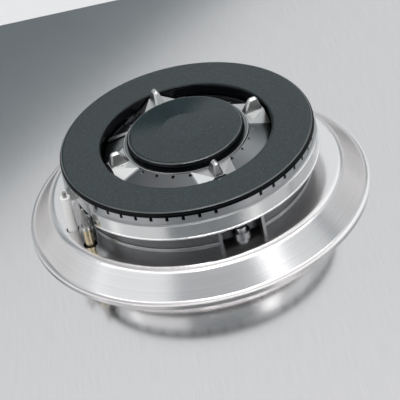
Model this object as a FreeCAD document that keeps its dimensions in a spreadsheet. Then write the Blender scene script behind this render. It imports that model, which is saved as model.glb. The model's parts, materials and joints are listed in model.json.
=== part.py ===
import FreeCAD, Part
import math
import os
import Sketcher

os.makedirs("parts", exist_ok=True)
doc = FreeCAD.newDocument("gas_hob")

# Driving sizes of the hob, in millimetres and degrees.
# Heights in the burner are above the top of the hob plate, other heights are above the worktop.
SIZES = {
    # Hob plate folded from one sheet, and the seal under its rim
    "hob_width": 300.0,
    "hob_depth": 520.0,
    "hob_fold": 6.0,
    "hob_sheet": 1.0,
    "hob_corner": 6.0,
    "hob_edge_round": 1.2,
    "rim_return": 24.0,
    "seal_thickness": 2.0,
    "seal_width": 8.0,
    "seal_inset": 1.0,
    # Where the burner and the knob stand on the plate
    "burner_from_back": 210.0,
    "knob_from_front": 70.0,
    # Raised ring under the burner, pressed from sheet
    "plinth_rim_r": 88.2,
    "plinth_lip": 1.8,
    "plinth_deck_r": 75.3,
    "plinth_rise": 14.0,
    "plinth_sheet": 1.0,
    "plinth_round": 5.0,
    # Burner body that stands on the raised ring
    "skirt_r": 60.2,
    "skirt_wall": 3.0,
    "skirt_rise": 10.6,
    "skirt_foot": 2.0,
    "skirt_bead": 0.6,
    "skirt_bead_rise": 1.0,
    "skirt_bead_round": 0.4,
    "window_width": 20.5,
    "window_lintel": 0.8,
    "window_jamb": 1.6,
    "lug_r": 4.4,
    "body_screw_circle": 58.0,
    "body_screw_r": 2.0,
    "body_screw_length": 14.0,
    "body_screw_head_r": 2.9,
    "body_screw_head": 2.6,
    "screw_clearance": 0.25,
    # Cross slots in the screw heads
    "drive_slot": 0.9,
    "drive_depth": 1.0,
    "drive_reach": 1.7,
    # Arms of the crown
    "arm_first": -73.5,
    "arm_inner_half": 10.5,
    "arm_outer_half": 2.7,
    "arm_reach": 42.2,
    "arm_splay": 8.3,
    "arm_drop": 6.0,
    "arm_below_rim": 0.3,
    "blade_inner": 31.9,
    "blade_outer": 42.0,
    "blade_top_inner": 35.7,
    "blade_top_outer": 40.6,
    "blade_thick": 5.2,
    "blade_top_thick": 2.8,
    "blade_rise": 7.0,
    "blade_round": 1.0,
    "blade_edge": 0.8,
    "blade_crest_edge": 0.2,
    "duct_width": 10.0,
    "duct_rise": 4.2,
    "duct_wall": 1.6,
    # Crown, the flame spreader
    "band_r": 65.6,
    "band_rise": 8.6,
    "band_slope": 0.5,
    "band_drop": 0.3,
    "band_lip": 0.45,
    "band_lip_rise": 1.0,
    "band_lip_round": 0.4,
    "port_band_r": 64.5,
    "crown_rise": 12.7,
    "crown_floor": 2.4,
    "annulus_outer_r": 59.5,
    "annulus_inner_r": 49.5,
    "annulus_wall": 3.0,
    "spigot_gap": 0.5,
    "spigot_width": 2.7,
    "spigot_drop": 2.2,
    "rim_r": 31.9,
    "rim_wall": 2.9,
    "rim_rise": 15.3,
    "trough_step": 0.7,
    "trough_slope": 25.0,
    "trough_floor": 2.0,
    "venturi_r": 9.0,
    "venturi_wall": 2.5,
    "venturi_flare": 4.0,
    "venturi_end": -3.0,
    "port_width": 1.6,
    "port_rise": 2.2,
    "port_pitch": 7.2,
    "port_lead_narrow": 10.8,
    "port_lead_wide": 14.4,
    "port_lead_recess": 21.6,
    "inner_port_r": 0.95,
    "inner_port_half": 0.42,
    "inner_port_rise": 38.65,
    "inner_port_pitch": 15.0,
    "inner_port_lead_narrow": 20.0,
    "inner_port_lead_wide": 25.0,
    "trough_port_width": 1.3,
    "trough_port_low": 33.3,
    "trough_port_rise": 1.5,
    "trough_port_pitch": 10.0,
    "trough_port_lead": 15.0,
    "air_slot_inner_r": 42.6,
    "air_slot_outer_r": 45.6,
    "air_slot_width": 46.0,
    "recess_depth": 2.7,
    "recess_width": 24.0,
    "recess_centre": -156.6,
    "carry_slot_at": 159.5,
    "carry_slot_width": 1.6,
    "carry_slot_depth": 1.4,
    "carry_rib_at": 156.0,
    "carry_rib_width": 4.2,
    "carry_rib_rise": 1.2,
    # Loose caps
    "cap_r": 65.0,
    "cap_hole_r": 43.6,
    "cap_thick": 3.3,
    "cap_lip": 1.9,
    "cap_lip_width": 2.4,
    "cap_lip_gap": 0.5,
    "cap_round": 0.9,
    "cap_hole_round": 1.6,
    "cap_bottom_round": 0.6,
    "inner_cap_r": 30.0,
    "inner_cap_thick": 5.1,
    "inner_cap_round": 2.6,
    "inner_cap_spigot_gap": 0.4,
    "inner_cap_spigot": 2.0,
    "inner_cap_spigot_wall": 3.5,
    "inner_cap_fall": 0.4,
    "inner_cap_dish_r": 11.0,
    "inner_cap_dish_edge": 1.5,
    "inner_cap_dish": 0.12,
    # Cup below the plate, with the injector in it
    "cup_r": 47.0,
    "cup_wall": 2.5,
    "cup_floor": 3.0,
    "cup_depth": 24.0,
    "cup_flange_r": 65.2,
    "cup_flange": 3.0,
    "cup_boss_r": 3.6,
    "cup_rib": 7.2,
    "cup_hole_gap": 0.4,
    "cup_screw_hole": 12.0,
    "burner_hole_r": 62.2,
    "holder_r": 8.0,
    "holder_spigot_r": 6.0,
    "holder_spigot_gap": 0.2,
    "holder_spigot_rise": 6.0,
    "holder_reach": 20.0,
    "holder_below": 8.0,
    "injector_r": 6.0,
    "injector_hex": 6.0,
    "injector_nozzle": 4.0,
    "injector_nozzle_r": 3.5,
    "injector_tip_r": 2.0,
    "injector_orifice_r": 0.7,
    # Gas line
    "gas_line_drop": 34.0,
    "pipe_r": 4.0,
    "pipe_bore_r": 3.0,
    "pipe_nut_r": 8.0,
    "pipe_nut_length": 9.0,
    "nut_gap": 0.1,
    "rail_at": 90.0,
    "rail_r": 6.0,
    "rail_bore_r": 4.5,
    "rail_bend": 30.0,
    "rail_clip_front": 20.0,
    "rail_clip_back": 140.0,
    "rail_clip_width": 24.0,
    "rail_clip_thick": 3.0,
    "rail_clip_foot": 14.0,
    "rail_clip_above": 5.0,
    "union_hex_r": 13.0,
    "union_hex": 7.0,
    "union_thread_r": 10.48,
    "union_thread": 16.0,
    "union_neck_r": 9.0,
    "union_neck": 13.0,
    "union_bore_r": 6.5,
    "union_nut": 6.0,
    "union_hole_gap": 0.3,
    # Gas tap under the knob
    "tap_r": 12.0,
    "tap_low": -42.0,
    "tap_plate_width": 40.0,
    "tap_plate_depth": 26.0,
    "tap_plate": 3.0,
    "tap_screw_spread": 14.0,
    "tap_screw_r": 1.5,
    "tap_screw_head_r": 3.0,
    "tap_screw_head": 1.6,
    "tap_chamber_r": 7.6,
    "tap_outlet_r": 7.0,
    "tap_outlet": 22.0,
    "tap_inlet_r": 9.0,
    "tap_inlet": 20.0,
    "tap_magnet_boss": 18.0,
    "gas_way_r": 2.5,
    "plug_top": -14.0,
    "plug_length": 24.0,
    "plug_top_r": 7.0,
    "plug_low_r": 6.0,
    "plug_clearance": 0.05,
    "magnet_r": 8.5,
    "magnet_length": 22.0,
    "magnet_neck_r": 5.9,
    "magnet_neck": 8.0,
    "magnet_tail_r": 4.0,
    "magnet_tail": 8.0,
    "spindle_r": 4.0,
    "spindle_stop": 0.5,
    "spindle_flat": 1.2,
    "spindle_top_gap": 3.0,
    "spindle_collar_r": 6.8,
    "spindle_collar": 2.0,
    "spindle_collar_at": -3.0,
    "spindle_clearance": 0.06,
    "tongue_width": 5.0,
    "tongue_thick": 2.4,
    "tongue_length": 10.0,
    "tongue_clearance": 0.05,
    "knob_push": 3.5,
    "switch_width": 20.0,
    "switch_depth": 10.0,
    "switch_rise": 14.0,
    "switch_below": 1.0,
    # Knob
    "knob_r": 22.0,
    "knob_gap": 0.8,
    "knob_skirt": 6.0,
    "knob_skirt_top_r": 20.5,
    "knob_grip_r": 17.5,
    "knob_grip_top_r": 16.5,
    "knob_grip_rise": 14.0,
    "knob_grip_width": 13.0,
    "knob_round": 1.5,
    "knob_hollow_r": 19.0,
    "knob_hollow": 4.2,
    "knob_hub_r": 7.0,
    "knob_hub_clear": 2.6,
    "knob_fit": 0.02,
    "knob_seal_r": 9.0,
    "knob_seal_bore_r": 5.2,
    "knob_seal_rise": 2.0,
    # Igniter and flame sensor beside the crown
    "electrode_circle": 69.1,
    "electrode_turn": -161.2,
    "electrode_r": 2.6,
    "electrode_rise": 34.2,
    "electrode_low": -12.0,
    "electrode_collar_r": 3.3,
    "electrode_collar": 6.0,
    "electrode_hole_r": 3.3,
    "pin_r": 1.0,
    "pin_rise": 3.0,
    "pin_tail": 6.0,
    "pin_gap": 0.05,
    "clip_r": 3.7,
    "clip_thick": 1.0,
    "sensor_turn": -146.8,
    "sensor_r": 2.25,
    "sensor_rise": 23.9,
    "sensor_low": -5.0,
    "sensor_hole_r": 3.5,
    "sensor_collar_r": 2.5,
    "sensor_collar": 1.6,
    "sensor_tip_r": 1.6,
    "sensor_tip_top_r": 0.75,
    "sensor_tip_round": 0.5,
    "sensor_tip": 10.5,
    "sensor_nut_r": 3.75,
    "sensor_nut": 5.0,
    # Electrical pieces in the tray
    "generator_x": -90.0,
    "generator_y": -95.0,
    "generator_width": 40.0,
    "generator_depth": 70.0,
    "generator_rise": 25.0,
    "generator_edge": 2.0,
    "block_x": -93.0,
    "block_from_back": 42.0,
    "block_width": 30.0,
    "block_depth": 22.0,
    "block_rise": 18.0,
    "block_bore_r": 2.6,
    "lead_r": 2.0,
    "spark_lead_r": 2.5,
    "sensor_lead_r": 1.0,
    "lead_bend": 9.0,
    "lead_rise": 10.0,
    "gland_r": 9.0,
    "gland_thread_r": 7.8,
    "gland_bore_r": 3.5,
    "gland_head": 12.0,
    "gland_nut": 5.0,
    "gland_nut_r": 11.0,
    "gland_gap": 0.2,
    # Tray under the plate
    "tray_rim_gap": 2.0,
    "tray_back_inset": 40.0,
    "tray_low": -48.0,
    "tray_sheet": 0.8,
    "tray_corner": 4.0,
    "post_from_side": 10.0,
    "post_from_end": 12.0,
    "post_r": 4.5,
    "tray_screw_r": 1.65,
    "tray_screw_hole": 12.0,
    "tray_screw_length": 10.0,
    "tray_screw_head_r": 4.0,
    "tray_screw_head": 2.0,
    "vent_width": 4.0,
    "vent_length": 60.0,
    "vent_pitch": 12.0,
    # Swinging clamps that grip the worktop from below
    "clamp_from_side": 20.5,
    "clamp_from_middle": 150.0,
    "clamp_low": -36.0,
    "clamp_thick": 3.0,
    "clamp_half": 4.5,
    "clamp_round": 4.0,
    "clamp_reach": 24.0,
    "clamp_tooth": 3.0,
    "clamp_tooth_rise": 4.0,
    "clamp_screw_r": 2.5,
    "clamp_screw_top": 6.0,
    "clamp_screw_head_r": 4.3,
    "clamp_screw_head": 3.0,
    "clamp_bore_gap": 0.08,
    "thread_gap": 0.05,
}

sheet = doc.addObject("Spreadsheet::Sheet", "plan")
for row, (name, number) in enumerate(SIZES.items(), 1):
    sheet.set(f"A{row}", name)
    sheet.set(f"B{row}", str(number))
    sheet.setAlias(f"B{row}", name)
doc.recompute()


class Size:
    """A length or an angle: its value, and the sheet expression that gives it."""

    def __init__(self, value, text):
        self.value = value
        self.text = text

    def __add__(self, other):
        other = as_size(other)
        return Size(self.value + other.value, f"({self.text} + {other.text})")

    def __sub__(self, other):
        other = as_size(other)
        return Size(self.value - other.value, f"({self.text} - {other.text})")

    def __mul__(self, other):
        other = as_size(other)
        return Size(self.value * other.value, f"({self.text} * {other.text})")

    def __truediv__(self, other):
        other = as_size(other)
        return Size(self.value / other.value, f"({self.text} / {other.text})")

    def __neg__(self):
        return Size(-self.value, f"(0 - {self.text})")

    __radd__ = __add__
    __rmul__ = __mul__


def as_size(thing):
    """A plain number becomes a size with a constant expression."""
    if isinstance(thing, Size):
        return thing
    return Size(float(thing), f"({float(thing):.6f})")


def root(thing):
    """The square root of a size."""
    return Size(math.sqrt(thing.value), f"sqrt({thing.text})")


def tangent(angle):
    """The tangent of an angle in degrees."""
    return Size(math.tan(math.radians(angle.value)), f"tan({angle.text} * 1deg)")


def around(circle, turn):
    """The X and the Y of a point on a circle, turned in degrees from the X axis."""
    circle = as_size(circle)
    turn = as_size(turn)
    angle = math.radians(turn.value)
    x = Size(circle.value * math.cos(angle), f"({circle.text} * cos({turn.text} * 1deg))")
    y = Size(circle.value * math.sin(angle), f"({circle.text} * sin({turn.text} * 1deg))")
    return x, y


class Plan:
    """The sheet's sizes, read by name."""

    def __getattr__(self, name):
        return Size(SIZES[name], f"plan.{name}")


plan = Plan()
NODES = []


def bind(thing, path, size):
    """Tie one property of a document object to a size."""
    thing.setExpression(path, as_size(size).text)


def keep(thing, label):
    """Name a finished sub-part and list it for writing."""
    thing.Label = label
    NODES.append(thing)
    return thing


def place(thing, x, y, z, axis="Z"):
    """Stand an object at a point, with its own Z axis turned to the named direction."""
    turns = {
        "Z": FreeCAD.Rotation(),
        "-Z": FreeCAD.Rotation(FreeCAD.Vector(1, 0, 0), 180),
        "X": FreeCAD.Rotation(FreeCAD.Vector(0, 1, 0), 90),
        "-X": FreeCAD.Rotation(FreeCAD.Vector(0, 1, 0), -90),
        "Y": FreeCAD.Rotation(FreeCAD.Vector(1, 0, 0), -90),
    }
    x = as_size(x)
    y = as_size(y)
    z = as_size(z)
    thing.Placement = FreeCAD.Placement(FreeCAD.Vector(x.value, y.value, z.value), turns[axis])
    bind(thing, "Placement.Base.x", x)
    bind(thing, "Placement.Base.y", y)
    bind(thing, "Placement.Base.z", z)
    return thing


def cylinder(radius, height, x, y, z, axis="Z"):
    """A bound cylinder standing on a point."""
    thing = doc.addObject("Part::Cylinder", "cylinder")
    bind(thing, "Radius", radius)
    bind(thing, "Height", height)
    return place(thing, x, y, z, axis)


def cone(low_radius, top_radius, height, x, y, z):
    """A bound cone standing on a point."""
    thing = doc.addObject("Part::Cone", "cone")
    bind(thing, "Radius1", low_radius)
    bind(thing, "Radius2", top_radius)
    bind(thing, "Height", height)
    return place(thing, x, y, z)


def hexagon(radius, height, x, y, z, axis="Z"):
    """A bound six-sided prism standing on a point."""
    thing = doc.addObject("Part::Prism", "hexagon")
    thing.Polygon = 6
    bind(thing, "Circumradius", radius)
    bind(thing, "Height", height)
    return place(thing, x, y, z, axis)


def box(width, depth, height, x, y, z):
    """A bound box, centred on a point in X and Y and standing on it."""
    width = as_size(width)
    depth = as_size(depth)
    thing = doc.addObject("Part::Box", "box")
    bind(thing, "Length", width)
    bind(thing, "Width", depth)
    bind(thing, "Height", height)
    return place(thing, as_size(x) - width / 2, as_size(y) - depth / 2, z)


def fuse(*pieces):
    """One solid from several pieces."""
    thing = doc.addObject("Part::MultiFuse", "fuse")
    thing.Shapes = list(pieces)
    return thing


def cut(base, *tools):
    """A solid with tools taken out of it."""
    thing = doc.addObject("Part::Cut", "cut")
    thing.Base = base
    thing.Tool = tools[0] if len(tools) == 1 else fuse(*tools)
    return thing


def driver_cross(x, y, z):
    """Two crossed slots for a screwdriver, standing on a point."""
    return fuse(
        box(plan.drive_reach * 2, plan.drive_slot, plan.drive_depth, x, y, z),
        box(plan.drive_slot, plan.drive_reach * 2, plan.drive_depth, x, y, z),
    )


def group(label, pieces):
    """Several like pieces kept as one named node."""
    thing = doc.addObject("Part::Compound", "group")
    thing.Links = pieces
    return keep(thing, label)


def new_body(label, x=0, y=0, z=0):
    """An empty body standing at a point."""
    body = doc.addObject("PartDesign::Body", "body")
    place(body, x, y, z)
    return keep(body, label)


def origin_part(body, role):
    """One of a body's own planes or axes."""
    return [part for part in body.Origin.OriginFeatures if part.Role == role][0]


def new_sketch(body, plane, lift, turn):
    """A sketch on one of a body's planes, lifted along its normal or turned about Z."""
    sketch = body.newObject("Sketcher::SketchObject", "sketch")
    sketch.AttachmentSupport = [(origin_part(body, plane), "")]
    sketch.MapMode = "FlatFace"
    lift = as_size(lift)
    turn = as_size(turn)
    axis = FreeCAD.Vector(0, 1, 0) if plane == "XZ_Plane" else FreeCAD.Vector(0, 0, 1)
    rotation = FreeCAD.Rotation(axis, turn.value)
    sketch.AttachmentOffset = FreeCAD.Placement(FreeCAD.Vector(0, 0, lift.value), rotation)
    bind(sketch, "AttachmentOffset.Base.z", lift)
    if turn.value:
        bind(sketch, "AttachmentOffset.Rotation.Angle", turn)
    return sketch


def pin(constraints, bindings, index, spot, u, v):
    """Fix one sketch point at two sizes from the sketch's origin."""
    for kind, axis, size in (("DistanceX", -2, u), ("DistanceY", -1, v)):
        if abs(size.value) < 1e-9:
            constraints.append(Sketcher.Constraint("PointOnObject", index, spot, axis))
            continue
        bindings.append((len(constraints), size))
        constraints.append(Sketcher.Constraint(kind, -1, 1, index, spot, size.value))


def tangent_points(before, corner, after, radius):
    """Where an arc of a radius touches the two edges of a corner, its middle and its centre."""
    first = (before - corner).normalize()
    second = (after - corner).normalize()
    half = first.getAngle(second) / 2
    along = radius / math.tan(half)
    centre = corner + (first + second).normalize() * (radius / math.sin(half))
    middle = centre + (corner - centre).normalize() * radius
    return corner + first * along, middle, corner + second * along


def draw(sketch, loops=(), circles=()):
    """Draw closed loops of (u, v) or rounded (u, v, radius) corners, and (u, v, radius) circles."""
    shapes = []
    constraints = []
    bindings = []
    for loop in loops:
        corners = [tuple(as_size(part) for part in corner) for corner in loop]
        points = [FreeCAD.Vector(corner[0].value, corner[1].value, 0) for corner in corners]
        count = len(corners)
        starts = list(points)
        ends = list(points)
        arcs = {}
        for index, corner in enumerate(corners):
            if len(corner) == 3:
                touch = tangent_points(
                    points[index - 1], points[index], points[(index + 1) % count], corner[2].value)
                ends[index] = touch[0]
                starts[index] = touch[2]
                arcs[index] = touch
        first_line = len(shapes)
        for index in range(count):
            shapes.append(Part.LineSegment(starts[index], ends[(index + 1) % count]))
        for index, corner in enumerate(corners):
            line = first_line + index
            before = first_line + (index - 1) % count
            if index not in arcs:
                constraints.append(Sketcher.Constraint("Coincident", before, 2, line, 1))
                pin(constraints, bindings, line, 1, corner[0], corner[1])
                continue
            curve = Part.Arc(*arcs[index])
            arc = len(shapes)
            shapes.append(curve)
            shapes.append(Part.Point(points[index]))
            near = 2 if curve.toShape().Curve.Axis.z < 0 else 1
            far = 3 - near
            constraints.append(Sketcher.Constraint("Tangent", before, 2, arc, near))
            constraints.append(Sketcher.Constraint("Tangent", arc, far, line, 1))
            pin(constraints, bindings, arc + 1, 1, corner[0], corner[1])
            constraints.append(Sketcher.Constraint("PointOnObject", arc + 1, 1, before))
            constraints.append(Sketcher.Constraint("PointOnObject", arc + 1, 1, line))
            bindings.append((len(constraints), corner[2]))
            constraints.append(Sketcher.Constraint("Radius", arc, corner[2].value))
    for circle in circles:
        u, v, radius = (as_size(part) for part in circle)
        index = len(shapes)
        centre = FreeCAD.Vector(u.value, v.value, 0)
        shapes.append(Part.Circle(centre, FreeCAD.Vector(0, 0, 1), radius.value))
        pin(constraints, bindings, index, 3, u, v)
        bindings.append((len(constraints), radius))
        constraints.append(Sketcher.Constraint("Radius", index, radius.value))
    for shape in shapes:
        sketch.addGeometry(shape, isinstance(shape, Part.Point))
    sketch.addConstraint(constraints)
    for index, size in bindings:
        bind(sketch, f"Constraints[{index}]", size)
    return sketch


def profile(body, corners, turn=0):
    """A section in the plane through the body's Z axis."""
    return draw(new_sketch(body, "XZ_Plane", 0, turn), loops=[corners])


def flat(body, lift, loops=(), circles=(), turn=0):
    """A drawing on a level plane of the body."""
    return draw(new_sketch(body, "XY_Plane", lift, turn), loops, circles)


def finish_feature(body, feature):
    """Make a feature the body's result."""
    body.Tip = feature
    doc.recompute()
    return feature


def revolve(body, sketch, span=None):
    """Turn a section about the body's Z axis, fully or over a span centred on it."""
    feature = body.newObject("PartDesign::Revolution", "revolve")
    feature.Profile = sketch
    feature.ReferenceAxis = (sketch, ["V_Axis"])
    feature.Angle = 360
    if span is not None:
        feature.Midplane = True
        bind(feature, "Angle", span)
    return finish_feature(body, feature)


def groove(body, sketch, span):
    """Cut a section about the body's Z axis over a span centred on it."""
    feature = body.newObject("PartDesign::Groove", "groove")
    feature.Profile = sketch
    feature.ReferenceAxis = (sketch, ["V_Axis"])
    feature.Midplane = True
    bind(feature, "Angle", span)
    return finish_feature(body, feature)


def pad(body, sketch, length):
    """Raise a drawing along its normal."""
    feature = body.newObject("PartDesign::Pad", "pad")
    feature.Profile = sketch
    bind(feature, "Length", length)
    return finish_feature(body, feature)


def pocket(body, sketch, length, upward=False, both=False):
    """Sink a drawing below its plane, or above it, or both ways."""
    before = body.Shape.Volume
    feature = body.newObject("PartDesign::Pocket", "pocket")
    feature.Profile = sketch
    bind(feature, "Length", length)
    feature.Reversed = upward
    feature.Midplane = both
    finish_feature(body, feature)
    if not body.Shape.Volume < before - 0.01:
        raise RuntimeError(f"A pocket in {body.Label} took nothing away")
    return feature


def loft(body, low, *higher):
    """A straight-sided solid through two or more drawings, from the lowest up."""
    feature = body.newObject("PartDesign::AdditiveLoft", "loft")
    feature.Profile = low
    feature.Sections = list(higher)
    feature.Ruled = True
    return finish_feature(body, feature)


def repeat(body, features, count, span=360):
    """Repeat features about the body's Z axis, over the whole turn or over a span."""
    feature = body.newObject("PartDesign::PolarPattern", "repeat")
    feature.Originals = features
    feature.Axis = (origin_part(body, "Z_Axis"), [""])
    feature.Angle = 360
    feature.Occurrences = count
    if span != 360:
        bind(feature, "Angle", span)
    return finish_feature(body, feature)


def fillet(body, radius, wanted):
    """Round the edges of a body that a test picks."""
    base = body.Tip
    names = [f"Edge{index}" for index, edge in enumerate(base.Shape.Edges, 1) if wanted(edge)]
    feature = body.newObject("PartDesign::Fillet", "fillet")
    feature.Base = (base, names)
    bind(feature, "Radius", radius)
    return finish_feature(body, feature)


def level(edge, height):
    """True for an edge that lies at one height in its body."""
    return all(abs(vertex.Z - height.value) < 1e-4 for vertex in edge.Vertexes)


def rounded(half_width, low, high, corner):
    """A rectangle with rounded corners, centred in X and reaching from one Y to another."""
    return [
        (-half_width, low, corner),
        (half_width, low, corner),
        (half_width, high, corner),
        (-half_width, high, corner),
    ]


def tube(label, points, radius, bend, bore=None):
    """A lead or a pipe: straight runs joined by tangent arcs, swept with a round section."""
    corners = [FreeCAD.Vector(*[as_size(part).value for part in point]) for point in points]
    edges = []
    start = corners[0]
    for index in range(1, len(corners) - 1):
        touch = tangent_points(corners[index - 1], corners[index], corners[index + 1], bend.value)
        edges.append(Part.LineSegment(start, touch[0]).toShape())
        edges.append(Part.Arc(*touch).toShape())
        start = touch[2]
    edges.append(Part.LineSegment(start, corners[-1]).toShape())
    path = Part.Wire(edges)
    direction = corners[1] - corners[0]

    def sweep(size):
        ring = Part.Wire([Part.Circle(corners[0], direction, size).toShape()])
        solid = path.makePipeShell([ring], True, False)
        expected = math.pi * size * size * path.Length
        if abs(solid.Volume - expected) > 0.01 * expected:
            raise RuntimeError(f"The sweep of {label} has the wrong volume")
        return solid

    shape = sweep(radius.value)
    if bore is not None:
        shape = shape.cut(sweep(bore.value))
    thing = doc.addObject("Part::Feature", "tube")
    thing.Shape = shape
    thing.Placement = FreeCAD.Placement()
    return keep(thing, label)


# Places and levels that several pieces share
plate_top = plan.seal_thickness + plan.hob_fold
plate_under = plate_top - plan.hob_sheet
hob_front = -(plan.hob_depth / 2)
hob_back = plan.hob_depth / 2
half_width = plan.hob_width / 2
burner_y = hob_back - plan.burner_from_back
knob_y = hob_front + plan.knob_from_front
gas_z = plate_top - plan.gas_line_drop
deck = plan.plinth_rise
skirt_top = deck + plan.skirt_rise
crown_top = skirt_top + plan.crown_rise
crown_floor = skirt_top + plan.crown_floor
rim_top = skirt_top + plan.rim_rise
quarter = 90
tray_floor = plan.tray_low + plan.tray_sheet
tray_half = half_width - plan.rim_return - plan.tray_rim_gap
tray_front = hob_front + plan.rim_return + plan.tray_rim_gap
tray_back = hob_back - plan.tray_back_inset
electrode_x, electrode_out = around(plan.electrode_circle, plan.electrode_turn)
sensor_x, sensor_out = around(plan.electrode_circle, plan.sensor_turn)
electrode_y = burner_y + electrode_out
sensor_y = burner_y + sensor_out
clamp_x = plan.hob_width / 2 - plan.clamp_from_side
arm_turns = [plan.arm_first + quarter * step for step in range(4)]
screw_spots = [around(plan.body_screw_circle, turn) for turn in arm_turns]
clamp_spots = [
    ("clamp_front_left", -1, -1),
    ("clamp_front_right", 1, -1),
    ("clamp_back_left", -1, 1),
    ("clamp_back_right", 1, 1),
]

# Hob plate: a folded pan with a return rim, and the holes for the burner and the knob
body = new_body("hob_top")
pad(body, flat(
    body, plan.seal_thickness, [rounded(half_width, hob_front, hob_back, plan.hob_corner)]), plan.hob_fold)
fillet(body, plan.hob_edge_round, lambda edge: level(edge, plate_top))
inside = rounded(
    half_width - plan.hob_sheet,
    hob_front + plan.hob_sheet,
    hob_back - plan.hob_sheet,
    plan.hob_corner - plan.hob_sheet,
)
pocket(body, flat(body, plan.seal_thickness, [inside]), plan.hob_fold - plan.hob_sheet, upward=True)
opening = rounded(
    half_width - plan.rim_return,
    hob_front + plan.rim_return,
    hob_back - plan.rim_return,
    plan.hob_corner,
)
pad(body, flat(body, plan.seal_thickness, [inside, opening]), plan.hob_sheet)
plate_holes = [
    (0, burner_y, plan.burner_hole_r),
    (electrode_x, electrode_y, plan.electrode_hole_r),
    (sensor_x, sensor_y, plan.sensor_hole_r),
    (0, knob_y, plan.knob_seal_bore_r),
    (plan.tap_screw_spread, knob_y, plan.tap_screw_r + plan.screw_clearance),
    (-plan.tap_screw_spread, knob_y, plan.tap_screw_r + plan.screw_clearance),
]
pocket(body, flat(body, plate_top, circles=plate_holes), plan.hob_sheet * 2)
rim_holes = [
    (clamp_x * side, plan.clamp_from_middle * end, plan.clamp_screw_r + plan.thread_gap)
    for name, side, end in clamp_spots
]
pocket(body, flat(body, plan.seal_thickness, circles=rim_holes), plan.hob_sheet * 2, upward=True)

# Sealing strip between the rim and the worktop
body = new_body("seal_strip")
seal_outer = rounded(
    half_width - plan.seal_inset,
    hob_front + plan.seal_inset,
    hob_back - plan.seal_inset,
    plan.hob_corner - plan.seal_inset,
)
seal_in = plan.seal_inset + plan.seal_width
seal_inner = rounded(half_width - seal_in, hob_front + seal_in, hob_back - seal_in, plan.hob_corner)
pad(body, flat(body, 0, [seal_outer, seal_inner]), plan.seal_thickness)

# Raised ring: a flat lip, a sloping wall and a level deck, all one sheet thick
body = new_body("burner_plinth", 0, burner_y, plate_top)
slope_foot = plan.plinth_rim_r - plan.plinth_lip
run = slope_foot - plan.plinth_deck_r
rise = plan.plinth_rise - plan.plinth_sheet
wall_across = plan.plinth_sheet * root(run * run + rise * rise) / rise
wall_step = run / rise * plan.plinth_sheet
cup_bore = plan.cup_r - plan.cup_wall
revolve(body, profile(body, [
    (plan.plinth_rim_r, 0),
    (plan.plinth_rim_r, plan.plinth_sheet),
    (slope_foot, plan.plinth_sheet, plan.plinth_sheet),
    (plan.plinth_deck_r, deck, plan.plinth_round),
    (cup_bore, deck),
    (cup_bore, deck - plan.plinth_sheet),
    (plan.plinth_deck_r + wall_step - wall_across, deck - plan.plinth_sheet,
     plan.plinth_round - plan.plinth_sheet),
    (slope_foot + wall_step - wall_across, 0),
]))
deck_holes = [(x, y, plan.body_screw_r + plan.screw_clearance) for x, y in screw_spots]
deck_holes.append((electrode_x, electrode_out, plan.electrode_hole_r))
deck_holes.append((sensor_x, sensor_out, plan.sensor_hole_r))
pocket(body, flat(body, deck, circles=deck_holes), plan.plinth_sheet * 2)

# Burner body: a foot ring and a skirt with four framed air windows, and a screw lug in each window
body = new_body("burner_body", 0, burner_y, plate_top)
skirt_bore = plan.skirt_r - plan.skirt_wall
foot_top = deck + plan.skirt_foot
bead_r = plan.skirt_r + plan.skirt_bead
revolve(body, profile(body, [
    (cup_bore, deck),
    (bead_r, deck),
    (bead_r, deck + plan.skirt_bead_rise, plan.skirt_bead_round),
    (plan.skirt_r, deck + plan.skirt_bead_rise),
    (plan.skirt_r, skirt_top),
    (skirt_bore, skirt_top),
    (skirt_bore, foot_top),
    (cup_bore, foot_top),
]))
window_in = plan.body_screw_circle - plan.lug_r + plan.skirt_foot
window_top = skirt_top - plan.window_lintel
jamb = profile(body, [
    (plan.skirt_r - plan.skirt_bead, deck),
    (bead_r, deck),
    (bead_r, window_top),
    (plan.skirt_r - plan.skirt_bead, window_top),
], plan.arm_first)
repeat(body, [revolve(body, jamb, plan.window_width + plan.window_jamb * 2)], 4)
window = profile(body, [
    (window_in, deck - 1),
    (bead_r + 1, deck - 1),
    (bead_r + 1, window_top),
    (window_in, window_top),
], plan.arm_first)
repeat(body, [groove(body, window, plan.window_width)], 4)
lug = pad(body, flat(
    body, deck, circles=[(plan.body_screw_circle, 0, plan.lug_r)], turn=plan.arm_first), plan.skirt_foot)
repeat(body, [lug], 4)
screw_hole = plan.body_screw_r + plan.screw_clearance
drill = flat(body, foot_top, circles=[(plan.body_screw_circle, 0, screw_hole)], turn=plan.arm_first)
repeat(body, [pocket(body, drill, plan.skirt_foot * 2)], 4)

# Screws that clamp the body, the raised ring and the plate to the cup
screws = []
for x, y in screw_spots:
    top = plate_top + foot_top
    head = cylinder(plan.body_screw_head_r, plan.body_screw_head, x, burner_y + y, top)
    shank = cylinder(plan.body_screw_r, plan.body_screw_length, x, burner_y + y, top - plan.body_screw_length)
    cross = driver_cross(x, burner_y + y, top + plan.body_screw_head - plan.drive_depth)
    screws.append(cut(fuse(head, shank), cross))
group("body_screws", screws)

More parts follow.
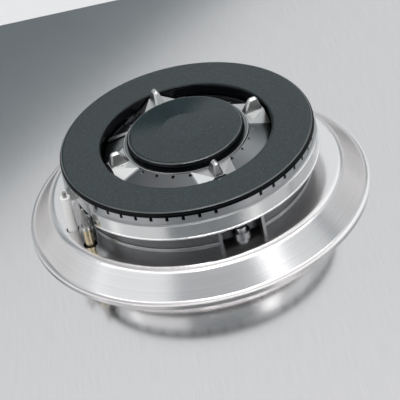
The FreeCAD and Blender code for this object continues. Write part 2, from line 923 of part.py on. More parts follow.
# Cup: a pot that hangs through the plate, with a clamping flange and four screw bosses
body = new_body("burner_cup", 0, burner_y, plate_top)
cup_top = deck - plan.plinth_sheet
cup_low = -plan.cup_depth
flange_low = -plan.hob_sheet - plan.cup_flange
cup_hole = plan.holder_spigot_r + plan.holder_spigot_gap
revolve(body, profile(body, [
    (cup_hole, cup_low),
    (plan.cup_r, cup_low),
    (plan.cup_r, flange_low),
    (plan.cup_flange_r, flange_low),
    (plan.cup_flange_r, -plan.hob_sheet),
    (plan.cup_r, -plan.hob_sheet),
    (plan.cup_r, cup_top),
    (cup_bore, cup_top),
    (cup_bore, cup_low + plan.cup_floor),
    (cup_hole, cup_low + plan.cup_floor),
]))
rib = [
    (plan.cup_r - plan.cup_wall / 2, -(plan.cup_rib / 2)),
    (plan.body_screw_circle, -(plan.cup_rib / 2)),
    (plan.body_screw_circle, plan.cup_rib / 2),
    (plan.cup_r - plan.cup_wall / 2, plan.cup_rib / 2),
]
boss_rise = cup_top - flange_low
rib_pad = pad(body, flat(body, flange_low, [rib], turn=plan.arm_first), boss_rise)
repeat(body, [rib_pad], 4)
boss = flat(body, flange_low, circles=[(plan.body_screw_circle, 0, plan.cup_boss_r)], turn=plan.arm_first)
repeat(body, [pad(body, boss, boss_rise)], 4)
thread = plan.body_screw_r + plan.thread_gap
drill = flat(body, cup_top, circles=[(plan.body_screw_circle, 0, thread)], turn=plan.arm_first)
repeat(body, [pocket(body, drill, plan.cup_screw_hole)], 4)

# Crown: two gas chambers joined by four ducted arms, with an air trough between them
body = new_body("burner_crown", 0, burner_y, plate_top)
slope = tangent(plan.trough_slope)
trough_in = plan.rim_r + plan.trough_step / 2
trough_high = rim_top - plan.trough_step
annulus_in = plan.annulus_inner_r - plan.annulus_wall
trough_low = trough_high - slope * (annulus_in - trough_in)
rim_in = plan.rim_r - plan.rim_wall
spigot_r = skirt_bore - plan.spigot_gap
band_low = skirt_top - plan.band_drop
band_top = band_low + plan.band_rise
band_lip_r = plan.band_r + plan.band_lip
venturi_out = plan.venturi_r + plan.venturi_wall
revolve(body, profile(body, [
    (plan.venturi_r, plan.venturi_end),
    (venturi_out, plan.venturi_end),
    (venturi_out, skirt_top),
    (plan.rim_r, skirt_top),
    (plan.rim_r, trough_high - plan.trough_floor),
    (annulus_in, trough_low - plan.trough_floor),
    (annulus_in, skirt_top),
    (spigot_r - plan.spigot_width, skirt_top),
    (spigot_r - plan.spigot_width, skirt_top - plan.spigot_drop),
    (spigot_r, skirt_top - plan.spigot_drop),
    (spigot_r, skirt_top),
    (plan.skirt_r + plan.spigot_gap, skirt_top),
    (plan.skirt_r + plan.spigot_gap, band_low),
    (band_lip_r, band_low, plan.band_lip_round),
    (band_lip_r, band_low + plan.band_lip_rise, plan.band_lip_round),
    (plan.band_r, band_low + plan.band_lip_rise),
    (plan.band_r, band_top - plan.band_slope),
    (plan.port_band_r, band_top),
    (plan.port_band_r, crown_top),
    (plan.annulus_outer_r, crown_top),
    (plan.annulus_outer_r, crown_floor),
    (plan.annulus_inner_r, crown_floor),
    (plan.annulus_inner_r, crown_top),
    (annulus_in, crown_top),
    (annulus_in, trough_low),
    (trough_in, trough_high),
    (plan.rim_r, rim_top),
    (rim_in, rim_top),
    (rim_in, crown_floor),
    (plan.venturi_r + plan.venturi_flare, crown_floor),
    (plan.venturi_r, crown_floor - plan.venturi_flare),
]))
arm_top = rim_top - plan.arm_below_rim
arm_root = plan.rim_r - plan.rim_wall / 2


def arm_plan(inner_half, outer_half, reach):
    """An arm seen from above, along the sketch's X axis."""
    return [(arm_root, -inner_half), (reach, -outer_half), (reach, outer_half), (arm_root, inner_half)]


arm_low = flat(body, arm_top - plan.arm_drop, [arm_plan(
    plan.arm_inner_half + plan.arm_splay,
    plan.arm_outer_half + plan.arm_splay,
    plan.arm_reach + plan.arm_below_rim,
)], turn=plan.arm_first)
arm_high = flat(
    body, arm_top, [arm_plan(plan.arm_inner_half, plan.arm_outer_half, plan.arm_reach)], turn=plan.arm_first)
arm = loft(body, arm_low, arm_high)
repeat(body, [arm], 4)
duct_half = plan.duct_width / 2 + plan.duct_wall
duct_end = plan.annulus_inner_r - plan.annulus_wall / 2
duct = [(arm_root, -duct_half), (duct_end, -duct_half), (duct_end, duct_half), (arm_root, duct_half)]
duct_top = crown_floor + plan.duct_rise
duct_pad = pad(
    body, flat(body, skirt_top, [duct], turn=plan.arm_first), duct_top + plan.duct_wall / 2 - skirt_top)
repeat(body, [duct_pad], 4)


def blade_plan(inner, outer, thick, edge):
    """A blade seen from above, along the sketch's X axis, with bevelled corners."""
    half = thick / 2
    return [
        (inner + edge, -half),
        (outer - edge, -half),
        (outer, -(half - edge)),
        (outer, half - edge),
        (outer - edge, half),
        (inner + edge, half),
        (inner, half - edge),
        (inner, -(half - edge)),
    ]


blade_foot = arm_top - plan.arm_below_rim
blade_top = blade_foot + plan.blade_rise
blade_low = blade_plan(plan.blade_inner, plan.blade_outer, plan.blade_thick, plan.blade_edge)
blade_high = blade_plan(plan.blade_top_inner, plan.blade_top_outer, plan.blade_top_thick, plan.blade_edge)
blade_crest = blade_plan(
    plan.blade_top_inner + plan.blade_round,
    plan.blade_top_outer - plan.blade_round,
    plan.blade_top_thick - plan.blade_round * 2,
    plan.blade_crest_edge,
)
blade = loft(
    body,
    flat(body, blade_foot, [blade_low], turn=plan.arm_first),
    flat(body, blade_top - plan.blade_round, [blade_high], turn=plan.arm_first),
    flat(body, blade_top, [blade_crest], turn=plan.arm_first),
)
repeat(body, [blade], 4)
way_half = plan.duct_width / 2
way_in = rim_in - plan.rim_wall
way_out = plan.annulus_inner_r + plan.annulus_wall
way = [(way_in, -way_half), (way_out, -way_half), (way_out, way_half), (way_in, way_half)]
repeat(body, [pocket(body, flat(body, duct_top, [way], turn=plan.arm_first), plan.duct_rise)], 4)
slot = profile(body, [
    (plan.air_slot_inner_r, skirt_top),
    (plan.air_slot_outer_r, skirt_top),
    (plan.air_slot_outer_r, trough_high),
    (plan.air_slot_inner_r, trough_high),
], plan.arm_first + 45)
repeat(body, [groove(body, slot, plan.air_slot_width)], 4)

# Outer ports: top-open slots in four runs between the arms
port_in = plan.annulus_outer_r - 1
port_out = plan.band_r
port_half = plan.port_width / 2
port_runs = [
    (0, plan.port_lead_narrow, 10),
    (1, plan.port_lead_wide, 10),
    (2, plan.port_lead_narrow, 10),
    (3, plan.port_lead_recess, 9),
]
for step, lead, count in port_runs:
    start = plan.arm_first + quarter * step + lead
    port = [(port_in, -port_half), (port_out, -port_half), (port_out, port_half), (port_in, port_half)]
    feature = pocket(body, flat(body, crown_top, [port], turn=start), plan.port_rise)
    repeat(body, [feature], count, plan.port_pitch * (count - 1))


def radial_ports(corners, inner, outer, start, count, pitch):
    """A run of ports cut straight in towards the burner's axis, with corners across and up."""
    sketch = draw(new_sketch(body, "XZ_Plane", 0, start + quarter), [corners])
    bind(sketch, "AttachmentOffset.Base.x", around(outer, start)[0])
    bind(sketch, "AttachmentOffset.Base.z", -around(outer, start)[1])
    doc.recompute()
    repeat(body, [pocket(body, sketch, outer - inner)], count, pitch * (count - 1))


# Inner ports under the small cap, six-sided, and the slots that face the trough
inner_port = []
for side in range(6):
    across = around(plan.inner_port_r, 60 * side)[0]
    up = around(plan.inner_port_half, 60 * side)[1]
    inner_port.append((across, plan.inner_port_rise + up))
inner_leads = [
    plan.inner_port_lead_narrow,
    plan.inner_port_lead_wide,
    plan.inner_port_lead_narrow,
    plan.inner_port_lead_wide,
]
trough_half = plan.trough_port_width / 2
trough_port = [
    (-trough_half, plan.trough_port_low),
    (trough_half, plan.trough_port_low),
    (trough_half, plan.trough_port_low + plan.trough_port_rise),
    (-trough_half, plan.trough_port_low + plan.trough_port_rise),
]
for step, lead in enumerate(inner_leads):
    arm_turn = plan.arm_first + quarter * step
    radial_ports(inner_port, rim_in - 1, plan.rim_r + 6, arm_turn + lead, 4, plan.inner_port_pitch)
    radial_ports(
        trough_port, annulus_in - 0.4, plan.annulus_inner_r + 1,
        arm_turn + plan.trough_port_lead, 7, plan.trough_port_pitch,
    )

# Recess in the crown's wall beside the igniter and the flame sensor
recess = profile(body, [
    (plan.port_band_r - plan.recess_depth, band_low - 1),
    (plan.band_r + 1, band_low - 1),
    (plan.band_r + 1, crown_top + 1),
    (plan.port_band_r - plan.recess_depth, crown_top + 1),
], plan.recess_centre)
groove(body, recess, plan.recess_width)

# Carry-over slot across the trough and the rib beside it
rib_low = trough_low + slope * (annulus_in - plan.air_slot_inner_r)
carry_rib = profile(body, [
    (plan.rim_r, trough_high - plan.trough_floor / 2),
    (plan.air_slot_inner_r, rib_low - plan.trough_floor / 2),
    (plan.air_slot_inner_r, rib_low + plan.carry_rib_rise),
    (trough_in, trough_high + plan.carry_rib_rise / 2),
    (plan.rim_r, trough_high + plan.carry_rib_rise / 2),
], plan.carry_rib_at)
revolve(body, carry_rib, plan.carry_rib_width)
carry_slot = profile(body, [
    (plan.rim_r, trough_high - plan.carry_slot_depth),
    (plan.air_slot_inner_r, rib_low - plan.carry_slot_depth),
    (plan.air_slot_inner_r, rim_top),
    (plan.rim_r, rim_top),
], plan.carry_slot_at)
groove(body, carry_slot, plan.carry_slot_width)

# Outer cap: an enamelled ring that sits on the crown and centres on its lip
body = new_body("outer_cap", 0, burner_y, plate_top)
cap_top = crown_top + plan.cap_thick
lip_r = annulus_in - plan.cap_lip_gap
revolve(body, profile(body, [
    (plan.cap_hole_r, crown_top - plan.cap_lip, plan.cap_bottom_round),
    (lip_r, crown_top - plan.cap_lip, plan.cap_bottom_round),
    (lip_r, crown_top),
    (plan.cap_r, crown_top, plan.cap_bottom_round),
    (plan.cap_r, cap_top, plan.cap_round),
    (plan.cap_hole_r, cap_top, plan.cap_hole_round),
]))

# Inner cap: a low cone with a shallow dish in the middle, and a spigot that drops inside the rim
body = new_body("inner_cap", 0, burner_y, plate_top)
small_top = rim_top + plan.inner_cap_thick
small_spigot = rim_in - plan.inner_cap_spigot_gap
small_hollow = small_spigot - plan.inner_cap_spigot_wall
revolve(body, profile(body, [
    (0, rim_top + plan.inner_cap_spigot),
    (small_hollow, rim_top + plan.inner_cap_spigot),
    (small_hollow, rim_top - plan.inner_cap_spigot),
    (small_spigot, rim_top - plan.inner_cap_spigot),
    (small_spigot, rim_top),
    (plan.inner_cap_r, rim_top, plan.cap_bottom_round),
    (plan.inner_cap_r, small_top - plan.inner_cap_fall, plan.inner_cap_round),
    (plan.inner_cap_dish_r, small_top),
    (plan.inner_cap_dish_r - plan.inner_cap_dish_edge, small_top - plan.inner_cap_dish),
    (0, small_top - plan.inner_cap_dish),
]))

# Injector and its elbow under the cup
elbow_top = plate_top + cup_low
elbow_low = gas_z - plan.holder_below
elbow = fuse(
    cylinder(plan.holder_r, elbow_top - elbow_low, 0, burner_y, elbow_low),
    cylinder(plan.holder_spigot_r, plan.holder_spigot_rise, 0, burner_y, elbow_top),
    cylinder(plan.tap_outlet_r, plan.holder_reach, 0, burner_y - plan.holder_reach, gas_z, "Y"),
)
ways = fuse(
    cylinder(plan.pipe_bore_r, plan.holder_reach, 0, burner_y - plan.holder_reach, gas_z, "Y"),
    cylinder(plan.pipe_bore_r, elbow_top + plan.holder_spigot_rise - gas_z, 0, burner_y, gas_z),
)
keep(cut(elbow, ways), "injector_elbow")
injector_low = elbow_top + plan.holder_spigot_rise
nozzle_low = injector_low + plan.injector_hex
jet = fuse(
    hexagon(plan.injector_r, plan.injector_hex, 0, burner_y, injector_low),
    cone(plan.injector_nozzle_r, plan.injector_tip_r, plan.injector_nozzle, 0, burner_y, nozzle_low),
)
orifice = cylinder(plan.injector_orifice_r, plan.injector_hex + plan.injector_nozzle, 0, burner_y, injector_low)
keep(cut(jet, orifice), "injector")

# Pipe from the tap to the injector elbow, with its two nuts
pipe_front = knob_y + plan.tap_outlet
pipe_back = burner_y - plan.holder_reach
pipe = cylinder(plan.pipe_r, pipe_back - pipe_front, 0, pipe_front, gas_z, "Y")
pipe_way = cylinder(plan.pipe_bore_r, pipe_back - pipe_front, 0, pipe_front, gas_z, "Y")
keep(cut(pipe, pipe_way), "burner_pipe")
nuts = []
for nut_y in (pipe_front, pipe_back - plan.pipe_nut_length):
    nut = hexagon(plan.pipe_nut_r, plan.pipe_nut_length, 0, nut_y, gas_z, "Y")
    bore = cylinder(plan.pipe_r + plan.nut_gap, plan.pipe_nut_length, 0, nut_y, gas_z, "Y")
    nuts.append(cut(nut, bore))
group("pipe_nuts", nuts)

# Gas tap: body, closing plate, taper plug, spindle and flame-safety magnet
tap_top = plate_under - plan.tap_plate
plug_low = plan.plug_top - plan.plug_length
solid = fuse(
    cylinder(plan.tap_r, tap_top - plan.tap_low, 0, knob_y, plan.tap_low),
    cylinder(plan.tap_outlet_r, plan.tap_outlet, 0, knob_y, gas_z, "Y"),
    cylinder(plan.tap_inlet_r, plan.tap_inlet, 0, knob_y, gas_z, "X"),
    cylinder(plan.tap_inlet_r, plan.tap_magnet_boss, 0, knob_y, gas_z, "-X"),
)
magnet_face = -plan.tap_magnet_boss
hollow = fuse(
    cone(plan.plug_low_r + plan.plug_clearance, plan.plug_top_r + plan.plug_clearance,
         plan.plug_length, 0, knob_y, plug_low),
    cylinder(plan.tap_chamber_r, tap_top - plan.plug_top, 0, knob_y, plan.plug_top),
    cylinder(plan.gas_way_r, plan.tap_outlet, 0, knob_y, gas_z, "Y"),
    cylinder(plan.gas_way_r, plan.tap_inlet, 0, knob_y, gas_z, "X"),
    cylinder(plan.magnet_neck_r + plan.nut_gap, plan.magnet_neck, magnet_face, knob_y, gas_z, "X"),
)
keep(cut(solid, hollow), "tap_body")
lid = box(plan.tap_plate_width, plan.tap_plate_depth, plan.tap_plate, 0, knob_y, tap_top)
lid_holes = [
    cylinder(plan.spindle_r + plan.spindle_clearance, plan.tap_plate, 0, knob_y, tap_top),
    cylinder(plan.tap_screw_r + plan.thread_gap, plan.tap_plate, plan.tap_screw_spread, knob_y, tap_top),
    cylinder(plan.tap_screw_r + plan.thread_gap, plan.tap_plate, -plan.tap_screw_spread, knob_y, tap_top),
]
keep(cut(lid, *lid_holes), "tap_plate")
screws = []
for side in (-1, 1):
    x = plan.tap_screw_spread * side
    shank = plan.hob_sheet + plan.tap_plate
    screw = fuse(
        cylinder(plan.tap_screw_head_r, plan.tap_screw_head, x, knob_y, plate_top),
        cylinder(plan.tap_screw_r, shank, x, knob_y, plate_top - shank),
    )
    screws.append(cut(screw, driver_cross(x, knob_y, plate_top + plan.tap_screw_head - plan.drive_depth)))
group("tap_screws", screws)
plug = cone(plan.plug_low_r, plan.plug_top_r, plan.plug_length, 0, knob_y, plug_low)
tongue_slot = plan.tongue_length + plan.knob_push + plan.spindle_clearance
spindle_low = plan.plug_top + plan.knob_push + plan.spindle_stop
slot_low = spindle_low - tongue_slot
slot_wide = plan.tongue_width + plan.tongue_clearance * 2
slot_thick = plan.tongue_thick + plan.tongue_clearance * 2
plug_cuts = [
    cylinder(plan.gas_way_r, plan.plug_top_r * 2, -plan.plug_top_r, knob_y, plug_low + plan.gas_way_r * 3, "X"),
    box(slot_wide, slot_thick, tongue_slot, 0, knob_y, slot_low),
]
keep(cut(plug, *plug_cuts), "tap_plug")
knob_low = plate_top + plan.knob_gap + plan.knob_push
grip_low = knob_low + plan.knob_skirt
knob_top = grip_low + plan.knob_grip_rise
spindle_top = knob_top - plan.spindle_top_gap
rod = fuse(
    cylinder(plan.spindle_r, spindle_top - spindle_low, 0, knob_y, spindle_low),
    cylinder(plan.spindle_collar_r, plan.spindle_collar, 0, knob_y, plan.spindle_collar_at),
    box(plan.tongue_width, plan.tongue_thick, plan.tongue_length, 0, knob_y, spindle_low - plan.tongue_length),
)
hub_low = plate_top + plan.knob_push + plan.knob_seal_rise + plan.knob_hub_clear / 2
flat_cut = box(
    plan.spindle_r * 2, plan.spindle_r, spindle_top - hub_low,
    0, knob_y + plan.spindle_r * 1.5 - plan.spindle_flat, hub_low)
keep(cut(rod, flat_cut), "tap_spindle")
magnet = fuse(
    cylinder(plan.magnet_neck_r, plan.magnet_neck, magnet_face, knob_y, gas_z, "X"),
    cylinder(plan.magnet_r, plan.magnet_length, magnet_face - plan.magnet_length, knob_y, gas_z, "X"),
    cylinder(plan.magnet_tail_r, plan.magnet_tail,
             magnet_face - plan.magnet_length - plan.magnet_tail, knob_y, gas_z, "X"),
)
keep(magnet, "magnet_unit")
switch_y = knob_y + plan.tap_r + plan.switch_depth / 2
switch_low = tap_top - plan.switch_below - plan.switch_rise
keep(box(plan.switch_width, plan.switch_depth, plan.switch_rise, 0, switch_y, switch_low), "ignition_switch")

# Knob: a round skirt with a bar grip, hollow below, with a hub for the flatted spindle
body = new_body("knob", 0, knob_y, 0)
hollow_top = knob_low + plan.knob_hollow
knob_bore = plan.spindle_r + plan.knob_fit
revolve(body, profile(body, [
    (0, spindle_top),
    (knob_bore, spindle_top),
    (knob_bore, hub_low),
    (plan.knob_hub_r, hub_low),
    (plan.knob_hub_r, hollow_top),
    (plan.knob_hollow_r, hollow_top),
    (plan.knob_hollow_r, knob_low),
    (plan.knob_r, knob_low),
    (plan.knob_skirt_top_r, grip_low, plan.knob_round),
    (plan.knob_grip_r, grip_low, plan.knob_round / 2),
    (plan.knob_grip_top_r, knob_top, plan.knob_round),
    (0, knob_top),
]))
grip_half = plan.knob_grip_width / 2
sides = []
for side in (-1, 1):
    sides.append([
        (grip_half * side, -plan.knob_r),
        (plan.knob_r * side, -plan.knob_r),
        (plan.knob_r * side, plan.knob_r),
        (grip_half * side, plan.knob_r),
    ])
pocket(body, flat(body, knob_top, sides), plan.knob_grip_rise)
flat_half = plan.spindle_r - plan.spindle_flat + plan.knob_fit
key = [
    (-knob_bore, flat_half),
    (knob_bore, flat_half),
    (knob_bore, knob_bore + plan.knob_fit),
    (-knob_bore, knob_bore + plan.knob_fit),
]
pad(body, flat(body, hub_low, [key]), spindle_top - hub_low)

# Rubber ring that keeps spills out of the spindle hole
ring = cylinder(plan.knob_seal_r, plan.knob_seal_rise, 0, knob_y, plate_top)
ring_hole = cylinder(plan.knob_seal_bore_r, plan.knob_seal_rise, 0, knob_y, plate_top)
keep(cut(ring, ring_hole), "knob_seal")

# Gas rail from the tap to the back, its clips, and the inlet union through the tray's back wall
wall_in = tray_back - plan.tray_sheet
rail_end = tray_back - plan.union_neck
rail_points = [
    (plan.tap_inlet, knob_y, gas_z),
    (plan.rail_at, knob_y, gas_z),
    (plan.rail_at, rail_end, gas_z),
]
tube("gas_rail", rail_points, plan.rail_r, plan.rail_bend, plan.rail_bore_r)
clips = []
for clip_y in (plan.rail_clip_front, plan.rail_clip_back):
    clip_rise = gas_z + plan.rail_r + plan.rail_clip_above - tray_floor
    foot_y = clip_y + plan.rail_clip_foot / 2
    web = box(plan.rail_clip_width, plan.rail_clip_thick, clip_rise, plan.rail_at, clip_y, tray_floor)
    foot = box(
        plan.rail_clip_width, plan.rail_clip_foot, plan.rail_clip_thick, plan.rail_at, foot_y, tray_floor)
    eye_y = clip_y - plan.rail_clip_thick
    eye = cylinder(plan.rail_r + plan.nut_gap, plan.rail_clip_thick * 2, plan.rail_at, eye_y, gas_z, "Y")
    clips.append(cut(fuse(web, foot), eye))
group("rail_clips", clips)
thread_low = tray_back + plan.union_hex
union = fuse(
    cylinder(plan.union_neck_r, plan.union_neck, plan.rail_at, rail_end, gas_z, "Y"),
    hexagon(plan.union_hex_r, plan.union_hex, plan.rail_at, tray_back, gas_z, "Y"),
    cylinder(plan.union_thread_r, plan.union_thread, plan.rail_at, thread_low, gas_z, "Y"),
)
union_long = plan.union_neck + plan.union_hex + plan.union_thread
union_way = cylinder(plan.union_bore_r, union_long, plan.rail_at, rail_end, gas_z, "Y")
keep(cut(union, union_way), "inlet_union")
nut_at = wall_in - plan.union_nut
back_nut = hexagon(plan.union_hex_r, plan.union_nut, plan.rail_at, nut_at, gas_z, "Y")
back_bore = cylinder(plan.union_neck_r + plan.thread_gap, plan.union_nut, plan.rail_at, nut_at, gas_z, "Y")
keep(cut(back_nut, back_bore), "union_nut")

# Igniter: a ceramic with a collar under the plate, a steel pin through it and a retaining clip
stem = fuse(
    cylinder(plan.electrode_r, plate_top + plan.electrode_rise - plan.electrode_low,
             electrode_x, electrode_y, plan.electrode_low),
    cylinder(plan.electrode_collar_r, plan.electrode_collar,
             electrode_x, electrode_y, plate_under - plan.electrode_collar),
)
stem_top = plate_top + plan.electrode_rise
stem_bore = cylinder(
    plan.pin_r + plan.pin_gap, stem_top - plan.electrode_low, electrode_x, electrode_y, plan.electrode_low)
keep(cut(stem, stem_bore), "electrode_ceramic")
pin_low = plan.electrode_low - plan.pin_tail
keep(cylinder(
    plan.pin_r, stem_top + plan.pin_rise - pin_low, electrode_x, electrode_y, pin_low), "electrode_pin")
clip_low = plate_under - plan.electrode_collar - plan.clip_thick
clip_ring = cylinder(plan.clip_r, plan.clip_thick, electrode_x, electrode_y, clip_low)
clip_hole = cylinder(plan.electrode_r + plan.pin_gap, plan.clip_thick, electrode_x, electrode_y, clip_low)
keep(cut(clip_ring, clip_hole), "electrode_clip")

# Flame sensor: a brass stem with a nut under the plate, a bright collar and a steel tip
sensor_top = plate_top + plan.sensor_rise
keep(cylinder(
    plan.sensor_r, sensor_top - plan.sensor_low, sensor_x, sensor_y, plan.sensor_low), "thermocouple_stem")
keep(cylinder(plan.sensor_collar_r, plan.sensor_collar, sensor_x, sensor_y, sensor_top), "thermocouple_collar")
tip_low = sensor_top + plan.sensor_collar
body = new_body("thermocouple_tip", sensor_x, sensor_y, tip_low)
revolve(body, profile(body, [
    (0, 0),
    (plan.sensor_tip_r, 0),
    (plan.sensor_tip_top_r, plan.sensor_tip, plan.sensor_tip_round),
    (0, plan.sensor_tip),
]))
nut_low = plate_under - plan.sensor_nut
sensor_nut = hexagon(plan.sensor_nut_r, plan.sensor_nut, sensor_x, sensor_y, nut_low)
nut_bore = cylinder(plan.sensor_r + plan.thread_gap, plan.sensor_nut, sensor_x, sensor_y, nut_low)
keep(cut(sensor_nut, nut_bore), "thermocouple_nut")

# Spark generator and terminal block on the tray floor, gland in the back wall
body = new_body("spark_generator", plan.generator_x, plan.generator_y, tray_floor)
gen_half = plan.generator_width / 2
gen_deep = plan.generator_depth / 2
pad(body, flat(body, 0, [rounded(gen_half, -gen_deep, gen_deep, plan.generator_edge)]), plan.generator_rise)
block_y = tray_back - plan.block_from_back
block = box(plan.block_width, plan.block_depth, plan.block_rise, plan.block_x, block_y, tray_floor)
block_way_y = block_y - plan.block_depth / 2
block_ways = [
    cylinder(plan.block_bore_r, plan.block_depth, plan.block_x + plan.block_width * 0.3 * step, block_way_y,
             tray_floor + plan.block_rise * 0.75, "Y")
    for step in (-1, 0, 1)
]
keep(cut(block, *block_ways), "terminal_block")
gland_z = gas_z
gland = fuse(
    cylinder(plan.gland_r, plan.gland_head, plan.block_x, tray_back, gland_z, "Y"),
    cylinder(plan.gland_thread_r, plan.gland_nut * 1.4 + plan.tray_sheet,
             plan.block_x, wall_in - plan.gland_nut * 1.4, gland_z, "Y"),
)
gland_way = cylinder(
    plan.gland_bore_r, plan.gland_head + plan.gland_nut * 2,
    plan.block_x, wall_in - plan.gland_nut * 1.5, gland_z, "Y")
keep(cut(gland, gland_way), "cable_gland")
gland_nut = hexagon(plan.gland_nut_r, plan.gland_nut, plan.block_x, wall_in - plan.gland_nut, gland_z, "Y")
gland_bore = cylinder(
    plan.gland_thread_r + plan.thread_gap, plan.gland_nut,
    plan.block_x, wall_in - plan.gland_nut, gland_z, "Y")
keep(cut(gland_nut, gland_bore), "gland_nut")

# Leads held inside the tray
lead_z = tray_floor + plan.lead_rise
gen_back = plan.generator_y + gen_deep
gen_front = plan.generator_y - gen_deep
spark_x = plan.generator_x + plan.generator_width / 4
spark_points = [
    (electrode_x, electrode_y, pin_low),
    (electrode_x, electrode_y, lead_z),
    (electrode_x, burner_y - plan.cup_flange_r, lead_z),
    (spark_x, (burner_y - plan.cup_flange_r + gen_back) / 2, lead_z),
    (spark_x, gen_back, lead_z),
]
tube("ignition_lead", spark_points, plan.spark_lead_r, plan.lead_bend)
magnet_end = magnet_face - plan.magnet_length - plan.magnet_tail
sensor_points = [
    (sensor_x, sensor_y, plan.sensor_low),
    (sensor_x, sensor_y, gas_z),
    (sensor_x, knob_y, gas_z),
    (magnet_end, knob_y, gas_z),
]
tube("thermocouple_lead", sensor_points, plan.sensor_lead_r, plan.lead_bend)
switch_z = switch_low + plan.switch_rise / 2
switch_end = -(plan.switch_width / 2)
switch_points = [
    (switch_end, switch_y, switch_z),
    (magnet_face - plan.magnet_length / 2, switch_y, switch_z),
    (magnet_face - plan.magnet_length / 2, switch_y, lead_z),
    (plan.generator_x, switch_y, lead_z),
    (plan.generator_x, gen_front, lead_z),
]
tube("switch_lead", switch_points, plan.lead_r, plan.lead_bend)
supply_z = tray_floor + plan.block_rise * 0.3
supply_points = [(plan.block_x, block_way_y, supply_z), (plan.block_x, gen_back, supply_z)]
tube("supply_lead", supply_points, plan.lead_r, plan.lead_bend)

# Tray: a shallow box with vent slots, hung on four posts under the plate
body = new_body("bottom_tray")
tray_outer = rounded(tray_half, tray_front, tray_back, plan.tray_corner)
pad(body, flat(body, plan.tray_low, [tray_outer]), plate_under - plan.tray_low)
tray_inner = rounded(
    tray_half - plan.tray_sheet,
    tray_front + plan.tray_sheet,
    tray_back - plan.tray_sheet,
    plan.tray_corner - plan.tray_sheet,
)
pocket(body, flat(body, tray_floor, [tray_inner]), plate_under - tray_floor, upward=True)
post_x = tray_half - plan.post_from_side
post_front = tray_front + plan.post_from_end
post_back = tray_back - plan.post_from_end
post_spots = [(-post_x, post_front), (post_x, post_front), (-post_x, post_back), (post_x, post_back)]
floor_holes = [(x, y, plan.tray_screw_r + plan.screw_clearance) for x, y in post_spots]
pocket(body, flat(body, tray_floor, circles=floor_holes), plan.tray_sheet * 2)
back_holes = [
    (plan.rail_at, gas_z, plan.union_neck_r + plan.union_hole_gap),
    (plan.block_x, gland_z, plan.gland_thread_r + plan.gland_gap),
]
back_sketch = draw(new_sketch(body, "XZ_Plane", -tray_back, 0), circles=back_holes)
pocket(body, back_sketch, plan.tray_sheet * 4, both=True)
vents = []
for step in (-2, -1, 0, 1, 2):
    middle = plan.vent_pitch * step + burner_y
    half = plan.vent_width / 2
    vents.append([
        (-(plan.vent_length / 2), middle - half),
        (plan.vent_length / 2, middle - half),
        (plan.vent_length / 2, middle + half),
        (-(plan.vent_length / 2), middle + half),
    ])
pocket(body, flat(body, tray_floor, vents), plan.tray_sheet * 2)
posts = []
screws = []
for x, y in post_spots:
    post = cylinder(plan.post_r, plate_under - tray_floor, x, y, tray_floor)
    posts.append(cut(post, cylinder(
        plan.tray_screw_r + plan.thread_gap, plan.tray_screw_hole, x, y, tray_floor)))
    head_low = plan.tray_low - plan.tray_screw_head
    screw = fuse(
        cylinder(plan.tray_screw_head_r, plan.tray_screw_head, x, y, head_low),
        cylinder(plan.tray_screw_r, plan.tray_screw_length, x, y, plan.tray_low),
    )
    screws.append(cut(screw, driver_cross(x, y, head_low)))
group("tray_posts", posts)
group("tray_screws", screws)

# Clamps that swing out under the worktop, each on its own long screw
clamp_screws = []
for name, side, end in clamp_spots:
    x = clamp_x * side
    y = plan.clamp_from_middle * end
    body = new_body(name, x, y, plan.clamp_low)
    half = plan.clamp_half
    bar = [
        (-half, half * end, plan.clamp_round),
        (half, half * end, plan.clamp_round),
        (half, plan.clamp_reach * -end),
        (-half, plan.clamp_reach * -end),
    ]
    pad(body, flat(body, 0, [bar]), plan.clamp_thick)
    tooth_in = plan.clamp_reach - plan.clamp_tooth
    tooth = [
        (-half, tooth_in * -end),
        (half, tooth_in * -end),
        (half, plan.clamp_reach * -end),
        (-half, plan.clamp_reach * -end),
    ]
    pad(body, flat(body, plan.clamp_thick, [tooth]), plan.clamp_tooth_rise)
    bore = flat(body, plan.clamp_thick, circles=[(0, 0, plan.clamp_screw_r + plan.clamp_bore_gap)])
    pocket(body, bore, plan.clamp_thick)
    head_low = plan.clamp_low - plan.clamp_screw_head
    screw = fuse(
        cylinder(plan.clamp_screw_head_r, plan.clamp_screw_head, x, y, head_low),
        cylinder(plan.clamp_screw_r, plan.clamp_screw_top - plan.clamp_low, x, y, plan.clamp_low),
    )
    clamp_screws.append(cut(screw, driver_cross(x, y, head_low)))
group("clamp_screws", clamp_screws)

doc.recompute()

# Check every object, then write one file for each sub-part
for thing in doc.Objects:
    if "Invalid" in thing.State or "Error" in thing.State:
        raise RuntimeError(f"{thing.Label} did not compute: {thing.State}")
for node in NODES:
    shape = node.Shape
    if shape.isNull() or not shape.isValid() or not shape.Solids:
        raise RuntimeError(f"{node.Label} has no valid solid")
    shape.exportStep(f"parts/{node.Label}.step")
    print(f"{node.Label}: {len(shape.Solids)} solid, {shape.Volume:.1f} cubic mm, {shape.BoundBox}")
print(f"{len(NODES)} sub-parts written")
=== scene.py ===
import json
import math

import bmesh
import bpy
from mathutils import Matrix, Vector


